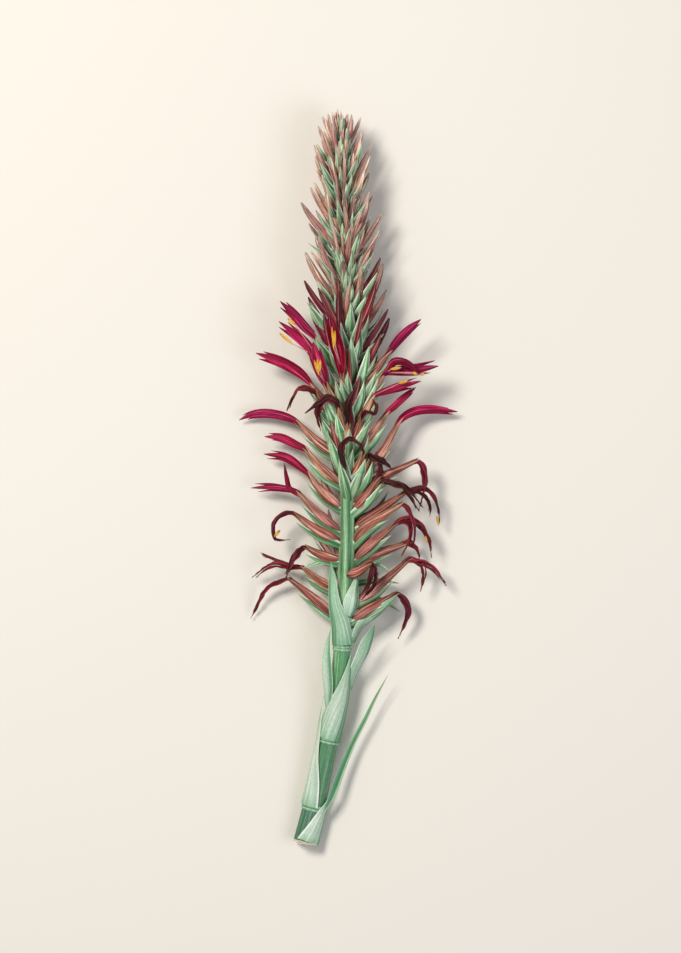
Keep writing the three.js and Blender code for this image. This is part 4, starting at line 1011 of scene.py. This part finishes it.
# Stations are Y, distance from the stalk's surface and half angle of the curl. Turn and face go from base
# to tip.
sheathBracts = [
    {"turn": (-72, -72), "face": (-72, -72), "green": 0.1, "mirrored": True,
     "stations": [(21, 2, 88), (37.5, 2, 68), (54, 2.2, 36), (70.5, 3.3, 14), (87, 4.5, 1)]},
    {"turn": (0, 58), "face": (0, 58), "green": 0.22,
     "stations": [(62, 2, 98), (75, 2, 96), (88, 2.1, 62), (101, 2.2, 28), (114, 2.6, 1)]},
    {"turn": (-55, -55), "face": (-40, -22), "green": 0.22,
     "stations": [(80, 1.4, 12), (92, 3.9, 34), (104, 6.3, 35), (116, 6.9, 20), (128.5, 5, 1)]},
    {"turn": (95, 62), "face": (60, 20), "green": 0.5,
     "stations": [(92, 2.2, 16), (102.5, 4.6, 42), (113, 9, 46), (123.5, 12.4, 36), (134, 16.9, 1)]},
    {"turn": (-6, -66), "face": (-10, -20), "green": 0.62, "mirrored": True,
     "stations": [(119, 2, 92), (131.4, 3.2, 64), (143.8, 6.6, 40), (156.2, 6.4, 24), (168.6, 6.2, 1)]},
    {"turn": (82, 86), "face": (62, 25), "green": 0.42,
     "stations": [(120.5, 2.2, 22), (130.2, 6.7, 44), (137.4, 13.6, 37), (144.4, 20.8, 22),
                  (151.4, 28.2, 1)]},
    {"turn": (24, 52), "face": (20, 10), "green": 0.4,
     "stations": [(137, 2.6, 24), (141.3, 3.3, 46), (145.6, 3.6, 47), (149.9, 3.7, 38), (154.2, 3.9, 25),
                  (158.5, 4.4, 13), (162.8, 5, 1)]},
]
leaf = {
    "sheath": {"turn": (38, 72), "face": (38, 72),
               "stations": [(-0.8, 2, 76), (9.5, 2, 54), (19.5, 2.1, 32), (30, 3.2, 8)],
               "steps": 24, "skin": {**sheaths["skin"], "across": 12, "ripple": 0.15}},
    "route": [(-13.2, 17.4, 12.2), (-9.2, 24, 13.5), (-6.9, 29, 13.9), (-1.4, 43.8, 12.6), (4.8, 58.8, 12),
              (12.4, 73.8, 12.4), (18.1, 85.8, 13.2), (25.8, 100.2, 15)],
    "halfWidth": 2.3, "steps": 34, "turn": 10.0,
    "blade": {"shape": [0.36, 1.0, 0.95, 0.8, 0.62, 0.42, 0.02], "curl": [0.9, 0.9],
              "thickness": [0.9, 0.7, 0.6, 0.5, 0.25], "across": 8, "ripple": 0.12, "waves": 3,
              "crease": 0.2},
}


def curledShape(bract, skin, steps):
    # a blade curled round the stalk as its stations say
    points, radii = [], []
    turns = np.linspace(*bract["turn"], len(bract["stations"]))
    for (y, away, angle), turn in zip(bract["stations"], turns):
        at = stalkFrame(y)
        points.append(at["middle"] + outward(at, turn) * (at["radius"] + away - sheaths["closer"]))
        radii.append(at["radius"] + sheaths["curlOff"])
    curl = np.radians([station[2] for station in bract["stations"]])
    route = routeThrough(points, steps)
    firstFace, lastFace = bract["face"]
    face = outward(stalkFrame(bract["stations"][0][0]), firstFace)
    frames = framesAlong(route, face, (lastFace - firstFace) * np.linspace(0, 1, len(route)))
    look = {**skin, "shape": np.multiply(radii, curl), "curl": curl}
    return bladeShape(route, frames, 1.0, look, chance.uniform(0, 6))


for n, bract in enumerate(sheathBracts):
    pile = newPile()
    shape = curledShape(bract, sheaths["skin"], sheaths["steps"])
    # a mirrored sheath has its painted side shade and its painted fold line on the other side
    if bract.get("mirrored"):
        shape[2][:, 0] *= -1  # its deeper tone is on the other side
    addShape(pile, shape, age=bract["green"])
    makePiece(f"sheath_{n + 1}", pile, sheathSkin, [f"sheath_bract_{n + 1}"])

pile = newPile()
addShape(pile, curledShape(leaf["sheath"], leaf["sheath"]["skin"], leaf["sheath"]["steps"]), 0.4, 0.15)
makePiece("strap_leaf_sheath", pile, sheathSkin, ["basal_leaf"])
pile = newPile()
route = routeThrough(leaf["route"], leaf["steps"])
frames = framesAlong(route, upwards, leaf["turn"])
addBlade(pile, route, frames, leaf["halfWidth"], leaf["blade"], tint=0.5, age=1.0)
makePiece("strap_leaf", pile, leafSkin, ["basal_leaf"])
pile = newPile()
tornRim(pile, rim["stalk"])
tornRim(pile, rim["sheath"])
makePiece("torn_rim", pile, cutSkin)
print("sheaths and leaf made")

# Flowers, one set of pieces for each

for n, flower in enumerate(freshFlowers):
    number = f"{n + 1:02d}"
    pile = newPile()
    addSepals(pile, flower, 0.15)
    makePiece(f"sepals_{number}", pile, sepalSkin, [f"calyx_{number}"])
    pile = newPile()
    addPetals(pile, flower)
    makePiece(f"petals_{number}", pile, petalSkin, [f"corolla_{number}"])

withered = [(f"{n + 1:02d}", f"spent_flower_{n + 1:02d}", flower) for n, flower in enumerate(spentFlowers)]
withered += [(f"below_{n + 1}", f"resting_flower_{n + 1}", flower) for n, flower in enumerate(restingFlowers)]
for label, node, flower in withered:
    pile = newPile()
    addSepals(pile, flower, 0.4 + 0.5 * flower["age"])
    makePiece(f"spent_sepals_{label}", pile, sepalSkin, [node])
    pile = newPile()
    addStrands(pile, flower)
    makePiece(f"spent_petals_{label}", pile, witheredSkin, [node])
print("flowers made:", len(freshFlowers), "fresh and", len(withered), "spent")

# Anthers as seen, from end to end: two picture points, their height above the surface, and age
anthers = {
    "radius": 0.82, "slim": 0.62,
    "slimOn": ("corolla_03", "corolla_05", "spent_flower_10", "spent_flower_12"),
    "arch": 0.5, "steps": 9, "shape": [0.35, 0.85, 1.0, 0.95, 0.75, 0.2],
    "section": {"sides": 12, "lobes": 2, "lap": 0.3, "flat": 0.8},
    "seen": {
        "corolla_02": [(288, 319, 296, 326, 40.5, 0.0), (280, 334, 293, 345, 40, 0.0)],
        "corolla_03": [(314.5, 361, 318, 374, 54, 0.0), (317.5, 360, 319, 376, 54.3, 0.05),
                       (320.5, 361, 320, 373, 54, 0.1)],
        "corolla_05": [(332, 328, 334, 351, 52, 0.0), (335, 332, 335, 347, 52.5, 0.1)],
        "corolla_11": [(390, 370, 401, 368, 43.5, 0.0), (412, 373, 417, 375, 42, 0.1),
                       (420, 375, 424, 374, 41, 0.1)],
        "corolla_12": [(398, 384, 408, 381, 41, 0.1)],
        "spent_flower_10": [(437, 516, 439, 526, 14, 0.4)],
        "spent_flower_12": [(424, 533, 428, 543, 18, 0.3)],
        "spent_flower_20": [(280, 530, 274, 537, 24, 0.2)],
    },
}
filament = {"radius": (0.42, 0.3), "arch": 1.5, "steps": 18, "sides": 7, "length": 18.0}
pile = newPile()
paths = []
for node, seen in anthers["seen"].items():
    radius = anthers["slim"] if node in anthers["slimOn"] else anthers["radius"]
    for x0, y0, x1, y1, z, age in seen:
        middle = onPlate((x0 + x1) / 2, (y0 + y1) / 2, z + anthers["arch"])
        route = routeThrough([onPlate(x0, y0, z), middle, onPlate(x1, y1, z)], anthers["steps"])
        girth = [radius * share for share in anthers["shape"]]
        frames = framesAlong(route, upwards)
        addShape(pile, spindleShape(route, frames, girth, **anthers["section"]), age=age)
        if node.startswith("corolla"):
            inside = petalRoute(freshFlowers[int(node[-2:]) - 1], 8)[2]
            end = min((route[1], route[-2]), key=lambda point: np.linalg.norm(point - inside))
            middle = (inside + end) / 2 + upwards * filament["arch"]
            path = routeThrough([inside, middle, end], filament["steps"])
            paths.append((path, np.linspace(*filament["radius"], len(path)), chance.random(), 0.0))
makePiece("anthers", pile, pollenSkin)

filaments = runTree("filaments", tubesAlongPaths, pathMesh("filament_paths", paths), {
    "Sides": filament["sides"], "Girth": 1.0, "Length mm": filament["length"], "Material": filamentSkin})
showPiece(filaments)
print("anthers and filaments made")

# Bracts and buds of the spiral

flowerCloud = []
for flower in freshFlowers:
    flowerCloud += [petalRoute(flower, 24), calyxAxis(flower, 16)]
for flower in spentFlowers + restingFlowers:
    flowerCloud.append(calyxAxis(flower, 16))
    flowerCloud += [routeThrough([flower["mouth"], *course], 20) for course in flower["strands"]]
flowerCloud = np.concatenate(flowerCloud)


def leaningSite(y, turn, lean, length, halfWidth, age):
    at = stalkFrame(y)
    out = outward(at, turn)
    facing = math.cos(math.radians(turn))
    flatter = facing * shoots["flatterAbove"] if facing > 0 else -facing * shoots["flatterBelow"]
    angle = math.radians(lean * (1 - flatter))
    return {"start": at["middle"] + out * (at["radius"] - shoots["sink"]),
            "ahead": at["ahead"] * math.cos(angle) + out * math.sin(angle),
            "back": out * math.cos(angle) - at["ahead"] * math.sin(angle),
            "length": length, "halfWidth": halfWidth, "tint": chance.random(), "age": age}


def clearOfFlowers(sites, near, share):
    # the sites whose shoot stays outside the flowers along most of its length
    clear = []
    for site in sites:
        samples = site["start"] + site["ahead"] * site["length"] * np.linspace(0.25, 1, 9)[:, None]
        gaps = np.linalg.norm(samples[:, None, :] - flowerCloud[None, :, :], axis=2).min(axis=1)
        if (gaps < near).mean() <= share:
            clear.append(site)
    return clear


def shootSites():
    bracts, buds = [], []
    young, front, below = shoots["young"], shoots["front"], shoots["underside"]
    for i in range(shoots["first"], shoots["budCount"]):
        y, turn = shootHeight(i), shootTurn(i)
        if y < shoots["lowerStart"]:
            continue
        facing = math.cos(math.radians(turn))
        sway = 1 + shoots["lengthSway"] * math.sin(1.7 * i)
        lean, budLength, budRadius, length, width = (between(shoots[key], y) for key in (
            "budLean", "budLength", "budRadius", "bractLength", "bractHalfWidth"))
        lean += shoots["leanSway"] * math.sin(3.1 * i)
        deep = float(np.clip((shoots["deepBelow"] - y) / shoots["deepOver"], 0, 1))
        deep = deep * (1 - shoots["deepSpread"]) + shoots["deepSpread"] * chance.random()
        drop = y - shoots["bractDrop"]
        if y > shoots["ripeFrom"]:
            ripe = shoots["ripeBelow"] - y + shoots["ripeSpread"] * chance.uniform(-1, 1)
            ripe = float(np.clip(ripe / shoots["ripeOver"], 0, 1))
            buds.append(leaningSite(y, turn, lean, budLength * sway, budRadius, ripe))
            if y > young["from"] and i % young["every"] == 0:
                buds.append(leaningSite(y + young["above"], turn + young["turn"], lean * young["lean"],
                                        budLength * young["length"], budRadius * young["girth"], ripe))
            bracts.append(leaningSite(drop, turn, lean + shoots["bractExtraLean"], length * sway, width,
                                      deep))
            if i > 0 and i % front["every"] == 0:
                # younger bracts between them, which face up
                turn = front["spread"] * math.sin(1.9 * i)
                bracts.append(leaningSite(drop + front["above"], turn, lean * front["lift"],
                                          length * front["shorter"], width, deep * front["paler"]))
        elif facing > math.cos(math.radians(front["halfAngle"])):
            if y > front["from"]:
                bracts.append(leaningSite(drop, turn, front["lean"] + shoots["bractExtraLean"],
                                          front["length"] * sway, front["halfWidth"], deep))
                if y > front["budFrom"]:
                    buds.append(leaningSite(y, turn, front["budLean"], front["budLength"] * sway,
                                            front["budRadius"], front["budAge"]))
        elif facing < below["cosine"]:
            buds.append(leaningSite(y, turn, below["lean"], below["length"], below["radius"], below["age"]))
            bracts.append(leaningSite(drop, turn, below["bractLean"], below["bractLength"],
                                      width * below["bractWidth"], deep))
    return clearOfFlowers(bracts, *shoots["bractClear"]), clearOfFlowers(buds, *shoots["budClear"])


def siteMesh(name, sites):
    mesh = bpy.data.meshes.new(name)
    mesh.from_pydata(inMetres([site["start"] for site in sites]).tolist(), [], [])
    for key in ("ahead", "back", "length", "halfWidth", "tint", "age"):
        perUnit = 1000 if key in ("length", "halfWidth") else 1
        storeValues(mesh, key, np.array([site[key] for site in sites]) / perUnit)
    return mesh


def shapeSet(name, shapes, width, length):
    # unit shapes: 1 long on Y, 1 half wide on X, and as deep as their length makes them
    group = bpy.data.collections.new(name)
    for k, (points, faces, blade) in enumerate(shapes):
        pile = newPile()
        addShape(pile, (points / np.array([width, length, length]), faces, blade), 0.5)
        mesh = meshOf(f"{name}_{k}", pile, placed=False)
        group.objects.link(bpy.data.objects.new(f"{name}_{k}", mesh))
    return group


bractShape = {"length": 25.0, "halfWidth": 3.3, "shape": [0.72, 0.92, 1.0, 0.95, 0.78, 0.52, 0.25, 0.02],
              "curl": [1.25, 1.15, 1.0, 0.8, 0.6, 0.4], "thickness": [0.8, 0.6, 0.5, 0.25], "across": 4,
              "waves": 1.4, "crease": 0.05}
budShape = {"length": 33.0, "radius": 1.8, "shape": [0.55, 0.85, 1.0, 1.0, 0.97, 0.92, 0.84, 0.68, 0.24],
            "section": {"sides": 9, "lobes": 3, "lap": 0.24}}


def unitBract(bow, recurve, twist, ripple):
    long = bractShape["length"]
    t = np.linspace(0, 1, 8)
    route = np.stack([0 * t, long * t, long * (bow * 4 * t * (1 - t) + recurve * t**3)], axis=1)
    frames = framesAlong(route, upwards, twist * t)
    return bladeShape(route, frames, bractShape["halfWidth"], {**bractShape, "ripple": ripple})


def unitBud(bow, side, twist):
    long, radius = budShape["length"], budShape["radius"]
    t = np.linspace(0, 1, 9)
    route = np.stack([side * radius * np.sin(np.pi * t), long * t, long * bow * 4 * t * (1 - t)], axis=1)
    girth = [share * radius for share in budShape["shape"]]
    return spindleShape(route, framesAlong(route, upwards), girth, twist=twist, **budShape["section"])


bractShapes = [unitBract(0.1, 0.03, 6, 0.15), unitBract(0.085, 0.06, -8, 0.25), unitBract(0.12, 0.0, 3, 0.2)]
budShapes = [unitBud(0.05, 0.3, 40), unitBud(0.035, -0.35, 70), unitBud(0.065, 0.1, 20)]
bractGroup = shapeSet("bract_shape", bractShapes, bractShape["halfWidth"], bractShape["length"])
budGroup = shapeSet("bud_shape", budShapes, budShape["radius"], budShape["length"])
bractSites, budSites = shootSites()
bracts = runTree("floral_bracts", shootsOnSites, siteMesh("bract_sites", bractSites), {
    "Shapes": bractGroup, "Roll": 0.16, "Uneven": 0.08, "Seed": 5, "Material": bractSkin})
showPiece(bracts, ["flower_stalk"])
buds = runTree("closed_buds", shootsOnSites, siteMesh("bud_sites", budSites), {
    "Shapes": budGroup, "Roll": 1.2, "Uneven": 0.07, "Seed": 8, "Material": budSkin})
showPiece(buds, ["flower_stalk"])
for group in (bractGroup, budGroup):
    for shape in list(group.objects):
        bpy.data.objects.remove(shape)
    bpy.data.collections.remove(group)
print("spiral grown:", len(bractSites), "bracts and", len(budSites), "buds")

# Bracts below the flowers follow their calyx. The others are read off the picture: three points each, with
# their height, for those behind the flowers. Those in front have root, tip, height of the tip and half width.
flowerBracts = {
    "steps": 16, "faceUp": 0.85, "beside": 4.3, "atTip": 0.9, "lean": 0.6, "root": 0.6, "share": (0.3, 0.95),
    "ages": (0.35, 1.0), "arch": 2.2, "rise": 0.7, "aside": 0.05, "behindHalfWidth": 2.5,
    "youngAbove": 285, "youngAges": (0.0, 0.3), "oldAges": (0.2, 0.8),
    "behind": [
        [(345, 561, 22), (322, 562, 22), (303, 568, 19)], [(338, 600, 17), (318, 584, 16), (303, 568, 15)],
        [(350, 565, 15), (372, 563, 12), (390, 571, 11)], [(352, 585, 14), (378, 581, 11), (400, 584, 9)],
        [(352, 602, 14), (370, 596, 12), (384, 600, 11)], [(352, 610, 12), (378, 600, 9), (401, 613, 7)],
        [(352, 520, 20), (374, 512, 18), (389, 491, 19)],
    ],
    "inFront": [
        (344, 416, 335, 381, 42, 3.6), (336, 398, 327, 366, 40, 3.6), (353, 382, 351, 338, 45, 3.8),
        (360, 394, 369, 347, 42, 3.8), (332, 366, 315, 338, 40, 3.4), (326, 336, 307, 303, 41, 4.4),
        (351, 330, 343, 293, 43, 3.4), (356, 322, 366, 297, 42, 3.2), (364, 428, 378, 379, 39, 4.2),
        (345, 455, 335, 413, 42, 3.8), (354, 455, 371, 420, 41, 3.8), (332, 448, 320, 416, 38, 3.6),
        (339, 440, 322, 396, 40, 3.8), (362, 414, 376, 372, 40, 3.6), (340, 474, 329, 436, 38, 3.8),
        (345, 366, 336, 331, 42, 3.4), (357, 360, 360, 322, 43, 3.4), (349, 436, 350, 396, 43, 3.8),
        (341, 139, 343, 115, 37, 1.5), (346, 152, 348, 126, 42, 1.6), (338, 178, 337, 152, 43, 2.0),
        (333, 187, 318, 161, 41, 1.8), (326, 161, 317, 145, 38, 1.4), (346, 187, 357, 160, 42, 1.8),
        (356, 166, 362, 143, 38, 1.4), (344, 209, 349, 185, 45, 2.0), (334, 224, 329, 205, 46, 1.9),
        (342, 230, 337, 206, 48, 2.2), (352, 231, 366, 204, 46, 2.6), (342, 252, 324, 226, 46, 2.4),
        (330, 252, 316, 229, 42, 2.0), (346, 256, 349, 230, 48, 2.2), (351, 264, 358, 236, 47, 2.2),
        (338, 266, 308, 244, 42, 2.2), (339, 289, 319, 260, 44, 2.6), (344, 280, 341, 252, 49, 2.4),
        (354, 288, 371, 258, 44, 2.6), (352, 283, 356, 263, 48, 2.0), (336, 205, 322, 178, 43, 2.0),
        (350, 208, 362, 184, 43, 2.0), (333, 240, 318, 214, 43, 2.2), (347, 302, 346, 272, 49, 2.6),
        (360, 306, 377, 274, 42, 2.6), (334, 310, 316, 280, 43, 2.6),
        (348, 503, 339, 459, 40, 4.2), (352, 500, 364, 464, 40, 4.2), (346, 486, 353, 449, 42, 3.8),
    ],
}
bractBlade = {"shape": [0.7, 0.95, 1.0, 0.94, 0.78, 0.55, 0.28, 0.02], "thickness": [0.8, 0.6, 0.5, 0.25],
              "across": 8, "ripple": 0.2, "waves": 1.6, "crease": 0.06}
bractLooks = {
    "axil": {**bractBlade, "curl": [1.0, 0.9, 0.8, 0.6, 0.4], "crease": 0.05},
    "behind": {**bractBlade, "curl": [1.0, 0.9, 0.6], "thickness": [0.7, 0.5, 0.25], "across": 6,
               "waves": 3.0},
    "inFront": {**bractBlade, "curl": [1.1, 1.0, 0.85, 0.6, 0.4]},
}


def addFlowerBract(pile, flower):
    y, turn = flower["root"]
    at = stalkFrame(y - shoots["flowerBractDrop"])
    axis = calyxAxis(flower, 20)
    ahead = unit(axis[7] - axis[5])
    lean = outward(at, turn) * flowerBracts["lean"] - at["ahead"]
    back = unit(lean - ahead * ahead.dot(lean))
    share = float(np.clip(between(shoots["bractLength"], y) / goneAlong(axis)[-1], *flowerBracts["share"]))
    start = at["middle"] + outward(at, turn) * at["radius"] * flowerBracts["root"]
    middle = axis[round(share * 9)] + back * flowerBracts["beside"]
    end = axis[round(share * 20)] + back * flowerBracts["beside"] * flowerBracts["atTip"]
    route = routeThrough([start, middle, end], flowerBracts["steps"])
    frames = framesAlong(route, back + upwards * flowerBracts["faceUp"])
    addBlade(pile, route, frames, between(shoots["bractHalfWidth"], y), bractLooks["axil"],
             chance.uniform(0, 6), age=chance.uniform(*flowerBracts["ages"]))


pile = newPile()
for flower in freshFlowers + spentFlowers + restingFlowers:
    if not flower.get("bare"):
        addFlowerBract(pile, flower)
for seen in flowerBracts["behind"]:
    route = routeThrough([onPlate(*point) for point in seen], flowerBracts["steps"])
    frames = framesAlong(route, upwards)
    addBlade(pile, route, frames, flowerBracts["behindHalfWidth"], bractLooks["behind"], age=1.0)
for x0, y0, x1, y1, tipHeight, width in flowerBracts["inFront"]:
    start, end = (np.array(onPlate(*point)) for point in ((x0, y0, 0), (x1, y1, tipHeight)))
    at = stalkFrame(start[1])
    start[2] = at["middle"][2] + flowerBracts["rise"] * at["radius"]
    middle = (start + end) / 2 + upwards * flowerBracts["arch"]
    route = routeThrough([start, middle, end], flowerBracts["steps"])
    frames = framesAlong(route, [flowerBracts["aside"] * (end[0] - start[0]), 0.0, 1.0])
    ages = flowerBracts["youngAges" if y1 < flowerBracts["youngAbove"] else "oldAges"]
    addBlade(pile, route, frames, width, bractLooks["inFront"], chance.uniform(0, 6),
             age=chance.uniform(*ages))
makePiece("flower_bracts", pile, bractSkin, ["flower_stalk"])
print("flower bracts made")

# Floor, lights and camera

stageLook = {"floor": "#e8e5de", "size": 3.0, "z": -0.0002, "rough": 0.9, "world": "#f2f1ee",
             "worldStrength": 0.32}
bpy.ops.mesh.primitive_plane_add(size=stageLook["size"], location=(0, 0, stageLook["z"]))
floor = bpy.context.object
floor.name = "floor"
paper = bpy.data.materials.new("plain_pale_board")
paper.use_nodes = True
shader = paper.node_tree.nodes["Principled BSDF"]
shader.inputs["Base Color"].default_value = colour(stageLook["floor"])
shader.inputs["Roughness"].default_value = stageLook["rough"]
floor.data.materials.append(paper)

world = bpy.context.scene.world or bpy.data.worlds.new("studio")
bpy.context.scene.world = world
world.use_nodes = True
sky = world.node_tree.nodes["Background"]
sky.inputs["Color"].default_value = colour(stageLook["world"])
sky.inputs["Strength"].default_value = stageLook["worldStrength"]

lights = {
    "key": {"place": (-0.75, 0.65, 1.7), "size": 0.5, "watts": 31.0, "tone": "#fff8ef"},
    "fill": {"place": (1.1, -0.4, 1.5), "size": 0.9, "watts": 9.0, "tone": "#f2f5ff"},
}
for name, look in lights.items():
    lamp = bpy.data.lights.new(name, "AREA")
    lamp.size = look["size"]
    lamp.energy = look["watts"]
    lamp.color = colour(look["tone"])[:3]
    lampObject = bpy.data.objects.new(name, lamp)
    lampObject.location = look["place"]
    lampObject.rotation_euler = (-Vector(look["place"])).to_track_quat("-Z", "Y").to_euler()
    bpy.context.scene.collection.objects.link(lampObject)

camera = {"lens": 180.0, "pixelsWide": 681, "pixelsHigh": 953, "level": 26.0, "sensor": 36.0, "clipEnd": 20.0}
middle = onPlate(camera["pixelsWide"] / 2, camera["pixelsHigh"] / 2, camera["level"])
lens = bpy.data.cameras.new("camera")
lens.lens = camera["lens"]
lens.sensor_width = camera["sensor"]
lens.clip_end = camera["clipEnd"]
view = bpy.data.objects.new("camera", lens)
distance = camera["pixelsHigh"] * plate["mmPerPixel"] * camera["lens"] / camera["sensor"]
view.location = inMetres([middle[0], middle[1], middle[2] + distance]).tolist()
bpy.context.scene.collection.objects.link(view)
bpy.context.scene.camera = view
bpy.context.scene.view_settings.view_transform = "Standard"


print("stage set")
